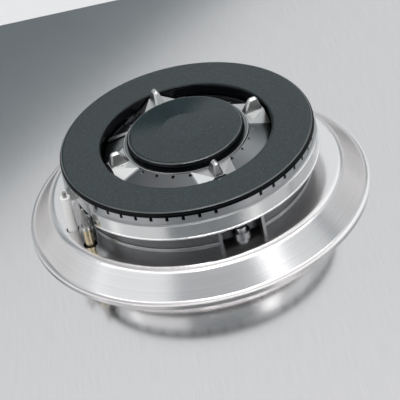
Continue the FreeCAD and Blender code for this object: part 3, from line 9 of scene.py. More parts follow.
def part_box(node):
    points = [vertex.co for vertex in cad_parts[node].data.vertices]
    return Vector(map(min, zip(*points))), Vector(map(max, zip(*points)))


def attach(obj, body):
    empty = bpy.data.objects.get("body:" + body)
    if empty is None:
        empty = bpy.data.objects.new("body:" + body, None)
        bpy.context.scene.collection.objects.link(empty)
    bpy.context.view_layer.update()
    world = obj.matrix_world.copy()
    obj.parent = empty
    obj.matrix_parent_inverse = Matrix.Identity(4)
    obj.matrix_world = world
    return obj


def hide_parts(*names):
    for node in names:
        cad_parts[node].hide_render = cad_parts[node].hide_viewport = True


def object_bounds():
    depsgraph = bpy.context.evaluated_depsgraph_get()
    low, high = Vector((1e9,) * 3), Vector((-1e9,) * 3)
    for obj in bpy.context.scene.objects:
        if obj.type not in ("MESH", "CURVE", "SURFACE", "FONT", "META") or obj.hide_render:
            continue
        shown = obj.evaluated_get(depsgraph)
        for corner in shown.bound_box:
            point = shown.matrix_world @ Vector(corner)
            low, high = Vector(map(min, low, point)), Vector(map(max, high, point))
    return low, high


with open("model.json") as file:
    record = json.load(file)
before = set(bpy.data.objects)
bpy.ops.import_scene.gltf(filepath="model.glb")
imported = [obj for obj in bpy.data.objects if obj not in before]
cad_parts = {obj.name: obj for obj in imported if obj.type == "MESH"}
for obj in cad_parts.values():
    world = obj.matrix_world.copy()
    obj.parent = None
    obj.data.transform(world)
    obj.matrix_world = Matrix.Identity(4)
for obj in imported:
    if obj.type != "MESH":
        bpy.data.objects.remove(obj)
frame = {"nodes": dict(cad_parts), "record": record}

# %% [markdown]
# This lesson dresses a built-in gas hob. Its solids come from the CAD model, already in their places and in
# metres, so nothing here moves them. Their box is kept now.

cad_box = [list(corner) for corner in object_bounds()]
nodes = frame["nodes"]
scene = bpy.context.scene
print("CAD nodes:", len(nodes), "lowest corner", cad_box[0], "highest corner", cad_box[1])

# %% [markdown]
# The burner is seen from about 1.25 m away through a long lens, and the camera is rolled a little. A
# camera could be placed by eye. Here its place was solved from the burner's circles, which show as
# ellipses, so the cell only states the eye, the way the picture's right edge points, and the way back
# to the eye.

# %% Camera
EYE = Vector((0.0, -0.98511, 0.75618))
PICTURE_RIGHT = Vector((0.9769, -0.1253, -0.1730))
BACK_TO_EYE = Vector((0.0, -0.8099, 0.5865))
LENS_MM = 224.22
SENSOR_MM = 36.0
FARTHEST_SEEN = 30.0

back = BACK_TO_EYE.normalized()
right = (PICTURE_RIGHT - back * PICTURE_RIGHT.dot(back)).normalized()
upward = back.cross(right)
camera = bpy.data.objects.new("photo_camera", bpy.data.cameras.new("photo_camera"))
camera.data.lens = LENS_MM
camera.data.sensor_width = SENSOR_MM
camera.data.clip_end = FARTHEST_SEEN
camera.matrix_world = Matrix.Translation(EYE) @ Matrix((right, upward, back)).transposed().to_4x4()
scene.collection.objects.link(camera)
scene.camera = camera
scene.view_settings.view_transform = "Standard"
print("camera looks down by", round(math.degrees(math.asin(back.z)), 1), "degrees")

# %% [markdown]
# Bare metal has no colour of its own to show: it shows the room. So the room is a light tent, pale low
# down where the walls meet the floor, greyer at the height that the flat plate mirrors, and bright
# overhead. Walls could be built for it, but one ramp that the world's own direction drives is simpler.

# %% Room
ROOM_TONES = (
    (0.0, (0.86, 0.86, 0.86)),
    (0.22, (0.72, 0.72, 0.72)),
    (0.42, (0.182, 0.22, 0.236)),
    (0.62, (0.2, 0.236, 0.252)),
    (0.8, (0.5, 0.5, 0.51)),
    (1.0, (0.75, 0.75, 0.75)),
)
world = bpy.data.worlds.new("light_tent")
world.use_nodes = True
scene.world = world
tree = world.node_tree
direction = tree.nodes.new("ShaderNodeTexCoord")
split = tree.nodes.new("ShaderNodeSeparateXYZ")
heights = tree.nodes.new("ShaderNodeValToRGB")
tree.links.new(direction.outputs["Generated"], split.inputs["Vector"])
tree.links.new(split.outputs["Z"], heights.inputs["Fac"])
tree.links.new(heights.outputs["Color"], tree.nodes["Background"].inputs["Color"])
stops = heights.color_ramp.elements
while len(stops) < len(ROOM_TONES):
    stops.new(1.0)
for stop, (height, tone) in zip(stops, ROOM_TONES):
    stop.position = height
    stop.color = (*tone, 1.0)
tree.nodes["Background"].inputs["Strength"].default_value = 1.0
print("room tones from floor to ceiling:", [tone for height, tone in ROOM_TONES])

# %% [markdown]
# Cloth panels hang in the tent. A panel's power is worked out from its area, so that its face adds as
# much light to the room's tone as the number given: 1 is the white of paper. The back panel hangs
# askew, and its lower left edge crosses what the plate mirrors, which gives the plate its slow change
# from grey at the far left to pale. The side panels were placed by what the burner's round walls
# mirror: a wall that faces some way round mirrors the room twice as far round. The front panels leave a
# gap over the camera, which shows as the darker band on the front of the plinth. Three narrow strips
# and a small lamp are brighter, and draw the long highlights on the plinth's shoulder and foot and the
# light lines round the caps.

# %% Panels and floor
BURNER = Vector((0.0, 0.05, 0.04))
PANEL_DISTANCE = 1.5
FLOOR_REACH = 40.0
FLOOR_Z = cad_box[0][2]


def toward(around, above):
    """A direction, in degrees round to the right from straight behind the hob, and degrees up."""
    around, above = math.radians(around), math.radians(above)
    level = math.cos(above)
    return Vector((math.sin(around) * level, math.cos(around) * level, math.sin(above))).normalized()


def panel(name, outward, size, brightness, distance=PANEL_DISTANCE, roll=0.0):
    """Hang a soft panel in a direction from the burner, facing it, with a face of the given brightness."""
    data = bpy.data.lights.new(name, "AREA")
    data.shape = "RECTANGLE"
    data.size, data.size_y = size
    data.energy = math.pi * size[0] * size[1] * brightness
    facing = outward.to_track_quat("Z", "Y").to_matrix().to_4x4()
    hang = facing @ Matrix.Rotation(math.radians(roll), 4, "Z")
    thing = bpy.data.objects.new(name, data)
    thing.matrix_world = Matrix.Translation(BURNER + outward * distance) @ hang
    thing.visible_camera = False
    scene.collection.objects.link(thing)


panel("back_panel", toward(12.4, 52.3), (1.4, 1.4), 0.74, roll=38.0)
panel("back_left_panel", toward(-36.0, 29.0), (0.55, 0.5), 0.35)
panel("back_right_panel", toward(37.0, 34.0), (0.5, 0.34), 0.5)
panel("left_panel", toward(-80.0, 32.0), (0.9, 0.9), 0.5)
panel("right_panel", toward(68.0, 35.0), (1.1, 0.9), 0.5)
panel("front_left_panel", toward(-119.0, 36.0), (1.25, 1.25), 0.74)
panel("front_right_panel", toward(118.0, 37.0), (1.0, 1.0), 0.56)
panel("front_right_lamp", toward(138.0, 41.0), (0.36, 0.28), 1.9, distance=1.4)
panel("front_panel", toward(177.0, 48.0), (1.2, 0.4), 0.2)
panel("front_strip", toward(168.0, 62.0), (1.0, 0.16), 12.0)
panel("left_strip", toward(-112.0, 52.0), (1.0, 0.16), 1.5, roll=25.0)
panel("right_strip", toward(112.0, 52.0), (1.0, 0.16), 4.0, roll=-25.0)
panel("top_panel", toward(180.0, 80.0), (1.2, 0.6), 0.15)

sheet = bmesh.new()
level_with_foot = Matrix.Translation((0, 0, FLOOR_Z))
bmesh.ops.create_grid(sheet, x_segments=1, y_segments=1, size=FLOOR_REACH, matrix=level_with_foot)
floor = bpy.data.objects.new("floor", bpy.data.meshes.new("floor"))
sheet.to_mesh(floor.data)
sheet.free()
scene.collection.objects.link(floor)
hung = [thing.name for thing in scene.objects if thing.type == "LIGHT"]
print("floor at", round(FLOOR_Z, 4), "m, panels", hung)

# %% [markdown]
# Several finishes share the same small marks. They could be drawn anew in each material, but a node
# group is built once and takes its own values wherever it is placed. A group reads the piece's own
# coordinates in metres and gives out a value from 0 to 1 that changes over the surface. The first is
# the fine straight grain that a sanding belt leaves on sheet steel, a noise that is stretched along one
# axis.


# %% Group: belt grain
def new_group(name, inputs, outputs):
    """Start a shader node group with number inputs (name and first value) and number outputs."""
    group = bpy.data.node_groups.new(name, "ShaderNodeTree")
    for label, value in inputs:
        socket = group.interface.new_socket(label, in_out="INPUT", socket_type="NodeSocketFloat")
        socket.default_value = value
    for label in outputs:
        group.interface.new_socket(label, in_out="OUTPUT", socket_type="NodeSocketFloat")
    return group, group.nodes.new("NodeGroupInput"), group.nodes.new("NodeGroupOutput")


def calculate(group, operation, first, second=0.0):
    """A Math node; each side is a socket or a number."""
    node = group.nodes.new("ShaderNodeMath")
    node.operation = operation
    for place, side in enumerate((first, second)):
        if isinstance(side, (int, float)):
            node.inputs[place].default_value = side
        else:
            group.links.new(side, node.inputs[place])
    return node.outputs[0]


def place_in(group):
    """The socket of the piece's own coordinates."""
    return group.nodes.new("ShaderNodeTexCoord").outputs["Object"]


def axes_in(group):
    """The X, Y and Z sockets of the piece's own coordinates."""
    parts = group.nodes.new("ShaderNodeSeparateXYZ")
    group.links.new(place_in(group), parts.inputs["Vector"])
    return parts.outputs


def new_noise(group, detail):
    """A noise at a scale of 1, with a number of finer layers."""
    noise = group.nodes.new("ShaderNodeTexNoise")
    noise.inputs["Scale"].default_value = 1.0
    noise.inputs["Detail"].default_value = detail
    return noise


grain, given, made = new_group("belt_grain", (("Across", 4000.0), ("Along", 60.0)), ("Grain",))
axis = axes_in(grain)
stretched = grain.nodes.new("ShaderNodeCombineXYZ")
for label, rate in (("X", "Across"), ("Y", "Along"), ("Z", "Across")):
    grain.links.new(calculate(grain, "MULTIPLY", axis[label], given.outputs[rate]), stretched.inputs[label])
noise = new_noise(grain, detail=3.0)
grain.links.new(stretched.outputs["Vector"], noise.inputs["Vector"])
grain.links.new(noise.outputs["Fac"], made.inputs["Grain"])
print("group", grain.name)

# %% [markdown]
# A turned or spun piece carries rings instead. A wave texture makes rings too, but evenly spaced ones.
# Here the tone depends only on the distance from the axis and on the height, so a noise of one
# dimension gives rings of every width.

# %% Group: turned rings
RING_CLIMB = 1.37


def distance_from_axis(group, axis, given):
    """How far a point stands from an upright axis through the group's two inputs."""
    side = calculate(group, "SUBTRACT", axis["X"], given.outputs["Axis X"])
    depth = calculate(group, "SUBTRACT", axis["Y"], given.outputs["Axis Y"])
    side = calculate(group, "MULTIPLY", side, side)
    depth = calculate(group, "MULTIPLY", depth, depth)
    return calculate(group, "SQRT", calculate(group, "ADD", side, depth))


burner_axis = (("Axis X", BURNER.x), ("Axis Y", BURNER.y))
rings, given, made = new_group("turned_rings", (*burner_axis, ("Fineness", 2500.0)), ("Rings",))
axis = axes_in(rings)
reach = distance_from_axis(rings, axis, given)
reach = calculate(rings, "ADD", reach, calculate(rings, "MULTIPLY", axis["Z"], RING_CLIMB))
noise = new_noise(rings, detail=4.0)
noise.noise_dimensions = "1D"
rings.links.new(calculate(rings, "MULTIPLY", reach, given.outputs["Fineness"]), noise.inputs["W"])
rings.links.new(noise.outputs["Fac"], made.inputs["Rings"])
print("group", rings.name)

# %% [markdown]
# Cast, blasted and moulded faces have a grain with no direction, and every handled face has soft
# smudges a few centimetres wide. Both are plain noise at two sizes, so one group gives the two values.

# %% Group: skin
skin, given, made = new_group("skin", (("Grain Size", 1500.0), ("Smudge Size", 25.0)), ("Grain", "Smudge"))
where = place_in(skin)
for label, detail, output in (("Grain Size", 3.0, "Grain"), ("Smudge Size", 4.0, "Smudge")):
    noise = new_noise(skin, detail)
    skin.links.new(where, noise.inputs["Vector"])
    skin.links.new(given.outputs[label], noise.inputs["Scale"])
    skin.links.new(noise.outputs["Fac"], made.inputs[output])
print("group", skin.name)

# %% [markdown]
# A casting or a pressing is rarely one finish all over: some faces are turned or polished, and others stay
# as they came from the mould. The faces could be picked one by one, but the solids' meshes are left alone.
# So a group finds each zone of the burner from the distance to its axis and the height, and gives out 1
# inside the zone and 0 outside. Some zones carry painted light: painted shade on the crown's port wall and
# trough and on the caps' sides, and a painted highlight on the casting's lip and on a thin line at the
# caps' top edges. The caps' zones are found as narrow rings.

# %% Group: burner zones
SHOULDER = 0.073
DECK_Z = 0.022
SKIRT = 0.0602
BAND_TOP = 0.0409
TROUGH_HIGH = 0.0472
TROUGH_START = 0.03225
TROUGH_END = 0.0475
TROUGH_FALL = math.tan(math.radians(25.0))
SLACK = 0.0004
# Rings at the caps' sides and the ring's hole wall, which get painted shade.
CAP_SIDES_PAINTED_SHADE = ((0.0652, 0.0009), (0.0437, 0.0006), (0.0299, 0.0007))
# Rings at the caps' top edges, where the enamel gets a painted highlight.
CAP_EDGE_PAINTED_HIGHLIGHTS = ((0.064, 0.00035), (0.0288, 0.0003))


def near_rings(group, reach, places):
    """1 where the reach is near one of some rings, each its middle and half its width, and 0 elsewhere."""
    mask = 0.0
    for middle, half in places:
        off_middle = calculate(group, "ABSOLUTE", calculate(group, "SUBTRACT", reach, middle))
        mask = calculate(group, "ADD", calculate(group, "LESS_THAN", off_middle, half), mask)
    return mask


zone_names = ("Deck", "Lip Painted Highlight", "Port Wall Painted Shade", "Trough Painted Shade", "Inside", "Cap Side Painted Shade", "Cap Edge Painted Highlight")
zones, given, made = new_group("burner_zones", burner_axis, zone_names)
axis = axes_in(zones)
reach = distance_from_axis(zones, axis, given)
above_deck = calculate(zones, "GREATER_THAN", axis["Z"], DECK_Z - SLACK)
deck = calculate(zones, "MULTIPLY", above_deck, calculate(zones, "LESS_THAN", reach, SHOULDER))
zones.links.new(deck, made.inputs["Deck"])
lip = calculate(zones, "MULTIPLY", above_deck, calculate(zones, "GREATER_THAN", reach, SKIRT + SLACK / 4))
zones.links.new(lip, made.inputs["Lip Painted Highlight"])
above_band = calculate(zones, "GREATER_THAN", axis["Z"], BAND_TOP - SLACK)
wall = calculate(zones, "MULTIPLY", above_band, calculate(zones, "GREATER_THAN", reach, SKIRT))
zones.links.new(wall, made.inputs["Port Wall Painted Shade"])
fall = calculate(zones, "MULTIPLY", calculate(zones, "SUBTRACT", reach, TROUGH_START), TROUGH_FALL)
low = calculate(zones, "LESS_THAN", axis["Z"], calculate(zones, "SUBTRACT", TROUGH_HIGH + SLACK, fall))
inside = calculate(zones, "LESS_THAN", reach, TROUGH_END)
zones.links.new(calculate(zones, "MULTIPLY", low, inside), made.inputs["Trough Painted Shade"])
zones.links.new(inside, made.inputs["Inside"])
zones.links.new(near_rings(zones, reach, CAP_SIDES_PAINTED_SHADE), made.inputs["Cap Side Painted Shade"])
zones.links.new(near_rings(zones, reach, CAP_EDGE_PAINTED_HIGHLIGHTS), made.inputs["Cap Edge Painted Highlight"])
print("group", zones.name, "gives", ", ".join(zone_names))

# %% [markdown]
# Every finish is then one Principled shader. Each could be wired by hand, but helpers keep some twenty
# of them alike. The first ones start a finish and place a group in it.


# %% Finish helpers
def shader_of(material):
    """The one shader that a finish has."""
    return material.node_tree.nodes["Principled BSDF"]


def new_finish(name, metallic, **sockets):
    """A material with one Principled shader; sockets are given by name, with underscores for spaces."""
    material = bpy.data.materials.new(name)
    material.use_nodes = True
    shader_of(material).inputs["Metallic"].default_value = metallic
    for label, value in sockets.items():
        shader_of(material).inputs[label.replace("_", " ")].default_value = value
    return material


def use_group(material, group, **values):
    """Place a group in a material and set its inputs."""
    node = material.node_tree.nodes.new("ShaderNodeGroup")
    node.node_tree = group
    for label, value in values.items():
        node.inputs[label.replace("_", " ")].default_value = value
    return node.outputs


finishes = {}
slots = {piece["material_slot"] for piece in frame["record"]["subparts"]}
print("finishes to make:", sorted(slots))

# %% [markdown]
# A group's value then has to reach a socket. A plain link would use the whole range from 0 to 1, but
# most of a noise lies near its middle. So two helpers spread the middle of the range between two
# colours or two roughnesses. A third takes the value as the height of a bump.

# %% Spread helpers
NOISE_ENDS = (0.3, 0.7)


def spread_colour(material, value, low, high, ends=NOISE_ENDS):
    """Base colour from low to high as the value runs between the ends."""
    ramp = material.node_tree.nodes.new("ShaderNodeValToRGB")
    for stop, place, colour in zip(ramp.color_ramp.elements, ends, (low, high)):
        stop.position = place
        stop.color = (*colour, 1.0)
    material.node_tree.links.new(value, ramp.inputs["Fac"])
    material.node_tree.links.new(ramp.outputs["Color"], shader_of(material).inputs["Base Color"])


def spread_roughness(material, value, low, high):
    """Roughness from low to high as the value runs over most of a noise's range."""
    scale = material.node_tree.nodes.new("ShaderNodeMapRange")
    for label, number in zip(("From Min", "From Max", "To Min", "To Max"), (*NOISE_ENDS, low, high)):
        scale.inputs[label].default_value = number
    material.node_tree.links.new(value, scale.inputs["Value"])
    material.node_tree.links.new(scale.outputs["Result"], shader_of(material).inputs["Roughness"])


def raise_bump(material, value, depth, strength):
    """A bump of a depth in metres from a value; a second bump stands on the first."""
    normal = shader_of(material).inputs["Normal"]
    bump = material.node_tree.nodes.new("ShaderNodeBump")
    bump.inputs["Distance"].default_value = depth
    bump.inputs["Strength"].default_value = strength
    material.node_tree.links.new(value, bump.inputs["Height"])
    if normal.links:
        material.node_tree.links.new(normal.links[0].from_socket, bump.inputs["Normal"])
    material.node_tree.links.new(bump.outputs["Normal"], normal)


print("most of a noise's values lie between", *NOISE_ENDS)

# %% [markdown]
# The plate is stainless sheet with a satin belt finish. The grain is so fine that the eye sees a soft
# mirror: the burner shows upside down in it. Stretched highlights could show the grain's direction, but
# they would smear that mirror image. So the roughness is low and even, and the grain changes colour and
# relief a little.

# %% Satin plate
plate = new_finish("satin_plate", metallic=1.0)
lines = use_group(plate, grain, Across=3500.0, Along=45.0)["Grain"]
smudges = use_group(plate, skin, Smudge_Size=14.0)["Smudge"]
spread_colour(plate, lines, (0.618, 0.602, 0.604), (0.658, 0.642, 0.644))
spread_roughness(plate, smudges, 0.12, 0.14)
raise_bump(plate, lines, depth=0.0000005, strength=0.15)
finishes["satin_steel"] = plate
print(plate.name)

# %% [markdown]
# The plinth under the burner is a bright pressing, polished on a lathe to a soft sheen, with faint
# rings that break its highlights. Its flat deck, where the burner stands, is a little smoother than its
# wall, so the burner's body shows in it as a dark, soft mirror image. A second material could be put on
# the deck's faces, but the solid's mesh is left alone, so a helper turns one socket to another value
# inside a zone.


# %% Polished pressing
def turn_where(material, mask, label, value):
    """Turn one of the shader's sockets to another number or colour where the mask is 1."""
    tree = material.node_tree
    socket = shader_of(material).inputs[label]
    mix = tree.nodes.new("ShaderNodeMix")
    kind = "Float"
    if socket.type == "RGBA":
        mix.data_type = "RGBA"
        kind = "Color"
        value = (*value, 1.0)
    sides = {side.identifier: side for side in (*mix.inputs, *mix.outputs)}
    if socket.links:
        tree.links.new(socket.links[0].from_socket, sides["A_" + kind])
    else:
        sides["A_" + kind].default_value = socket.default_value
    sides["B_" + kind].default_value = value
    tree.links.new(mask, sides["Factor_Float"])
    tree.links.new(sides["Result_" + kind], socket)


pressing = new_finish("polished_pressing", metallic=1.0)
circles = use_group(pressing, rings, Fineness=1800.0)["Rings"]
smudges = use_group(pressing, skin, Smudge_Size=30.0)["Smudge"]
spread_colour(pressing, circles, (0.724, 0.707, 0.71), (0.754, 0.737, 0.74))
spread_roughness(pressing, smudges, 0.22, 0.26)
turn_where(pressing, use_group(pressing, zones)["Deck"], "Roughness", 0.2)
raise_bump(pressing, circles, depth=0.0000006, strength=0.1)
finishes["polished_steel"] = pressing
print(pressing.name)

# %% [markdown]
# The crown is die-cast aluminium, turned bright on its outer band and satin on its arms. The ported wall
# under the cap is rougher and a darker grey, and the sloping trough inside is darker still; both greys are
# painted shade, the shade under the caps. The crown is one solid, so one finish carries all of this, zone
# by zone.

# %% Turned crown
CROWN_ZONES = (
    # The port wall's darker grey is painted shade under the cap's overhang.
    ("Port Wall Painted Shade", (0.48, 0.49, 0.5), 0.34),
    ("Inside", (0.5, 0.5, 0.5), 0.32),
    # The trough's dark grey is painted shade under the caps.
    ("Trough Painted Shade", (0.17, 0.178, 0.185), 0.24),
)
crown = new_finish("turned_crown", metallic=1.0)
circles = use_group(crown, rings, Fineness=2600.0)["Rings"]
marks = use_group(crown, skin, Grain_Size=2600.0, Smudge_Size=60.0)
spread_colour(crown, circles, (0.86, 0.858, 0.855), (0.92, 0.918, 0.915))
spread_roughness(crown, marks["Smudge"], 0.17, 0.24)
zone = use_group(crown, zones)
for label, colour, roughness in CROWN_ZONES:
    turn_where(crown, zone[label], "Base Color", colour)
    turn_where(crown, zone[label], "Roughness", roughness)
raise_bump(crown, circles, depth=0.000004, strength=0.25)
raise_bump(crown, marks["Grain"], depth=0.00001, strength=0.25)
finishes["polished_crown"] = crown
print(crown.name)

# %% [markdown]
# The burner cup and body are plain castings: dark grey, with an open grain and no polish. Displacement
# could give the grain real depth, but it is so fine that a bump is enough. The lip round the body's foot
# and windows, which stands proud, is smoother and a lighter grey; the lighter grey is a painted highlight
# along the lip.

# %% Plain casting
casting = new_finish("plain_casting", metallic=1.0)
marks = use_group(casting, skin, Grain_Size=1400.0, Smudge_Size=40.0)
spread_colour(casting, marks["Grain"], (0.11, 0.115, 0.12), (0.18, 0.185, 0.19))
spread_roughness(casting, marks["Smudge"], 0.3, 0.42)
# The lip's lighter grey is a painted highlight; its lower roughness is the lip's own gloss.
lip = use_group(casting, zones)["Lip Painted Highlight"]
turn_where(casting, lip, "Base Color", (0.34, 0.345, 0.35))
turn_where(casting, lip, "Roughness", 0.26)
raise_bump(casting, marks["Grain"], depth=0.00004, strength=0.4)
finishes["cast_aluminium"] = casting
print(casting.name)

# %% [markdown]
# The two caps are enamelled steel, a dark blue-green grey. Fired enamel has a soft gloss, a faint
# orange-peel skin and a fine speckle of lighter grains, which come from the grain's highest values. A
# painted picture could hold the speckle, but a noise has no seams. The caps' sides are coloured near black
# with a thin coat, which is painted shade, and a thin line at each top edge is coloured lighter and half
# metal, which is a painted highlight.

# %% Speckled enamel
enamel = new_finish(
    "speckled_enamel", metallic=0.0, Specular_IOR_Level=0.0,
    Coat_Weight=0.9, Coat_Roughness=0.13, Coat_IOR=1.5)
marks = use_group(enamel, skin, Grain_Size=1900.0, Smudge_Size=35.0)
spread_colour(enamel, marks["Grain"], (0.0, 0.0, 0.001), (0.012, 0.04, 0.044), ends=(0.4, 0.7))
spread_roughness(enamel, marks["Smudge"], 0.46, 0.56)
raise_bump(enamel, marks["Grain"], depth=0.00002, strength=0.08)
zone = use_group(enamel, zones)
# The caps' sides are coloured near black as painted shade, with a thinner coat.
turn_where(enamel, zone["Cap Side Painted Shade"], "Base Color", (0.0, 0.001, 0.0015))
turn_where(enamel, zone["Cap Side Painted Shade"], "Coat Weight", 0.3)
# The top-edge line is coloured lighter and half metal: a painted highlight.
turn_where(enamel, zone["Cap Edge Painted Highlight"], "Base Color", (0.085, 0.092, 0.094))
turn_where(enamel, zone["Cap Edge Painted Highlight"], "Metallic", 0.5)
finishes["enamel"] = enamel
print(enamel.name)

# %% [markdown]
# The remaining finishes are small fittings. Each could have its own nodes, but most share one recipe: a
# grain that mottles the colour and roughens the surface, and smudges that change the gloss. So one
# helper makes them from two colours, a gloss range, and the size and depth of the grain.

# %% Fittings
FITTING_SMUDGES = 90.0
FITTING_RELIEF = 0.4


def fitting(slot, name, metallic, low, high, gloss, grain_size, depth):
    """A finish with a mottled colour, a gloss range and a grain of the given size and depth."""
    material = new_finish(name, metallic)
    marks = use_group(material, skin, Grain_Size=grain_size, Smudge_Size=FITTING_SMUDGES)
    spread_colour(material, marks["Grain"], low, high)
    spread_roughness(material, marks["Smudge"], *gloss)
    raise_bump(material, marks["Grain"], depth, FITTING_RELIEF)
    finishes[slot] = material
    print(slot, "is", name)


fitting("white_ceramic", "glazed_ceramic", 0.0,
        (0.86, 0.855, 0.84), (0.92, 0.915, 0.9), (0.25, 0.4), 900.0, 0.00002)
fitting("steel_pin", "heat_grey_steel", 1.0,
        (0.3, 0.29, 0.28), (0.46, 0.45, 0.44), (0.28, 0.4), 2500.0, 0.00002)
fitting("bright_collar", "bright_nickel", 1.0,
        (0.74, 0.73, 0.71), (0.84, 0.83, 0.81), (0.14, 0.24), 2500.0, 0.00001)
fitting("brass", "turned_brass", 1.0,
        (0.62, 0.52, 0.34), (0.8, 0.68, 0.46), (0.22, 0.36), 2200.0, 0.00002)
fitting("zinc_steel", "zinc_plated_steel", 1.0,
        (0.52, 0.53, 0.55), (0.66, 0.67, 0.68), (0.26, 0.4), 700.0, 0.00002)
fitting("black_rubber", "black_rubber", 0.0,
        (0.018, 0.018, 0.019), (0.034, 0.034, 0.035), (0.6, 0.8), 1600.0, 0.00005)
fitting("grey_seal", "grey_foam_seal", 0.0,
        (0.16, 0.16, 0.165), (0.27, 0.27, 0.275), (0.8, 0.95), 1400.0, 0.0002)
fitting("black_plastic", "black_moulding", 0.0,
        (0.02, 0.02, 0.022), (0.035, 0.035, 0.038), (0.36, 0.5), 1800.0, 0.00003)
fitting("white_plastic", "white_moulding", 0.0,
        (0.72, 0.72, 0.69), (0.8, 0.8, 0.77), (0.34, 0.48), 1500.0, 0.00003)
fitting("silicone_lead", "red_silicone", 0.0,
        (0.36, 0.05, 0.03), (0.46, 0.08, 0.05), (0.45, 0.6), 1500.0, 0.00003)
fitting("grey_lead", "grey_sleeve", 0.0,
        (0.2, 0.2, 0.21), (0.28, 0.28, 0.29), (0.45, 0.6), 1500.0, 0.00003)
fitting("copper", "drawn_copper", 1.0,
        (0.62, 0.34, 0.22), (0.76, 0.46, 0.32), (0.24, 0.4), 1200.0, 0.00001)
fitting("pipe_aluminium", "drawn_aluminium", 1.0,
        (0.66, 0.66, 0.67), (0.78, 0.78, 0.79), (0.26, 0.4), 1200.0, 0.00001)

# %% [markdown]
# The tray is hot-dip galvanised sheet. Its zinc freezes in crystals a few millimetres wide, each a
# slightly different grey and gloss. A noise would run softly from one grey to the next. A Voronoi
# texture gives cells with edges, and its colour output is one random value for each cell.

# %% Galvanised tray
CRYSTALS_A_METRE = 120.0
zinc = new_finish("galvanised_sheet", metallic=1.0)
cells = zinc.node_tree.nodes.new("ShaderNodeTexVoronoi")
cells.inputs["Scale"].default_value = CRYSTALS_A_METRE
zinc.node_tree.links.new(place_in(zinc.node_tree), cells.inputs["Vector"])
cell = zinc.node_tree.nodes.new("ShaderNodeSeparateColor")
zinc.node_tree.links.new(cells.outputs["Color"], cell.inputs["Color"])
spread_colour(zinc, cell.outputs["Red"], (0.5, 0.51, 0.52), (0.6, 0.61, 0.62), ends=(0.0, 1.0))
spread_roughness(zinc, cell.outputs["Green"], 0.34, 0.46)
pits = use_group(zinc, skin, Grain_Size=700.0)["Grain"]
raise_bump(zinc, pits, depth=0.00002, strength=0.3)
finishes["tray_steel"] = zinc
print("tray_steel is", zinc.name)

# %% [markdown]
# The solids could be dressed one by one, but every solid in the frame names the slot of its finish, so
# one loop dresses them all. The floor gets a pale finish with the faintest cloudiness, which keeps it
# from looking like a hole in the picture.

# %% Put the finishes on the solids
for piece in frame["record"]["subparts"]:
    solid = nodes[piece["node"]]
    solid.data.materials.clear()
    solid.data.materials.append(finishes[piece["material_slot"]])
pale = new_finish("pale_floor", metallic=0.0, Roughness=0.7)
clouds = use_group(pale, skin, Smudge_Size=2.0)["Smudge"]
spread_colour(pale, clouds, (0.78, 0.78, 0.78), (0.8, 0.8, 0.8))
floor.data.materials.append(pale)

# %% [markdown]
# The small things that are too fine for the solids come last, with the two caps, which stand in for
# their solids. Each starts as a bmesh in metres, at its place. It could be moved there by its object
# instead, but then the patterns on it would move too. This helper turns the finished bmesh into an
# object with a finish, and says which body carries it.

# %% Piece helper
WELD = 0.000001


def add_piece(name, mesh, body, slot, material=None):
    """Make a bmesh an object at the origin, riding on a body, with its slot's finish or a given one."""
    bmesh.ops.remove_doubles(mesh, verts=mesh.verts, dist=WELD)
    bmesh.ops.recalc_face_normals(mesh, faces=mesh.faces)
    thing = bpy.data.objects.new(name, bpy.data.meshes.new(name))
    mesh.to_mesh(thing.data)
    mesh.free()
    thing.data.materials.append(material or finishes[slot])
    scene.collection.objects.link(thing)
    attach(thing, body)
    print(name, "has", len(thing.data.polygons), "faces and rides on", body)
    return thing


print("points nearer than", WELD, "m become one")

# %% [markdown]
# The plinth is spun from sheet, so its sloping wall runs into its flat lip in a soft curve, which
# carries a long highlight. The solid keeps that corner nearly sharp. It could be rounded by a modifier,
# but the solids stay as they are, so a thin ring fills the corner. One point is spun into an arc that
# touches the lip and the wall, two lines close the outline a little below their faces, and the outline
# is spun about the burner's axis.

# %% Plinth foot
LIP_THICK = 0.001
LIP_WIDE = 0.0018
WALL_ANGLE = math.radians(49.5)
LIP_CURVE = 0.0037
SUNK = 0.0001
CURVE_STEPS = 10
ROUND_STEPS = 240
SHARP_ANGLE = math.radians(30.0)


def spin_round(mesh):
    """Spin an outline once round the burner's axis, and shade it smooth all but its sharp edges."""
    bmesh.ops.spin(
        mesh, geom=[*mesh.verts, *mesh.edges], cent=(BURNER.x, BURNER.y, 0.0), axis=(0, 0, 1),
        dvec=(0, 0, 0), angle=2 * math.pi, steps=ROUND_STEPS, use_merge=True, use_duplicate=False)
    bmesh.ops.remove_doubles(mesh, verts=mesh.verts, dist=WELD)
    bmesh.ops.recalc_face_normals(mesh, faces=mesh.faces)
    for face in mesh.faces:
        face.smooth = True
    for edge in mesh.edges:
        edge.smooth = edge.calc_face_angle(0.0) < SHARP_ANGLE


plinth_low, plinth_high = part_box("burner_plinth")
lip_top = plinth_low.z + LIP_THICK
wall_foot = plinth_high.x - LIP_WIDE
lip_touch = wall_foot + LIP_CURVE * math.tan(WALL_ANGLE / 2)
foot = bmesh.new()
start = foot.verts.new((lip_touch, BURNER.y, lip_top))
arc = bmesh.ops.spin(
    foot, geom=[start], cent=(lip_touch, BURNER.y, lip_top + LIP_CURVE), axis=(0, 1, 0), dvec=(0, 0, 0),
    angle=WALL_ANGLE, steps=CURVE_STEPS, use_merge=False, use_duplicate=False)
corner = foot.verts.new((wall_foot - SUNK, BURNER.y, lip_top - SUNK))
for end in (start, *arc["geom_last"]):
    if isinstance(end, bmesh.types.BMVert):
        foot.edges.new((end, corner))
spin_round(foot)
add_piece("plinth_foot_curve", foot, "hob", "polished_steel")

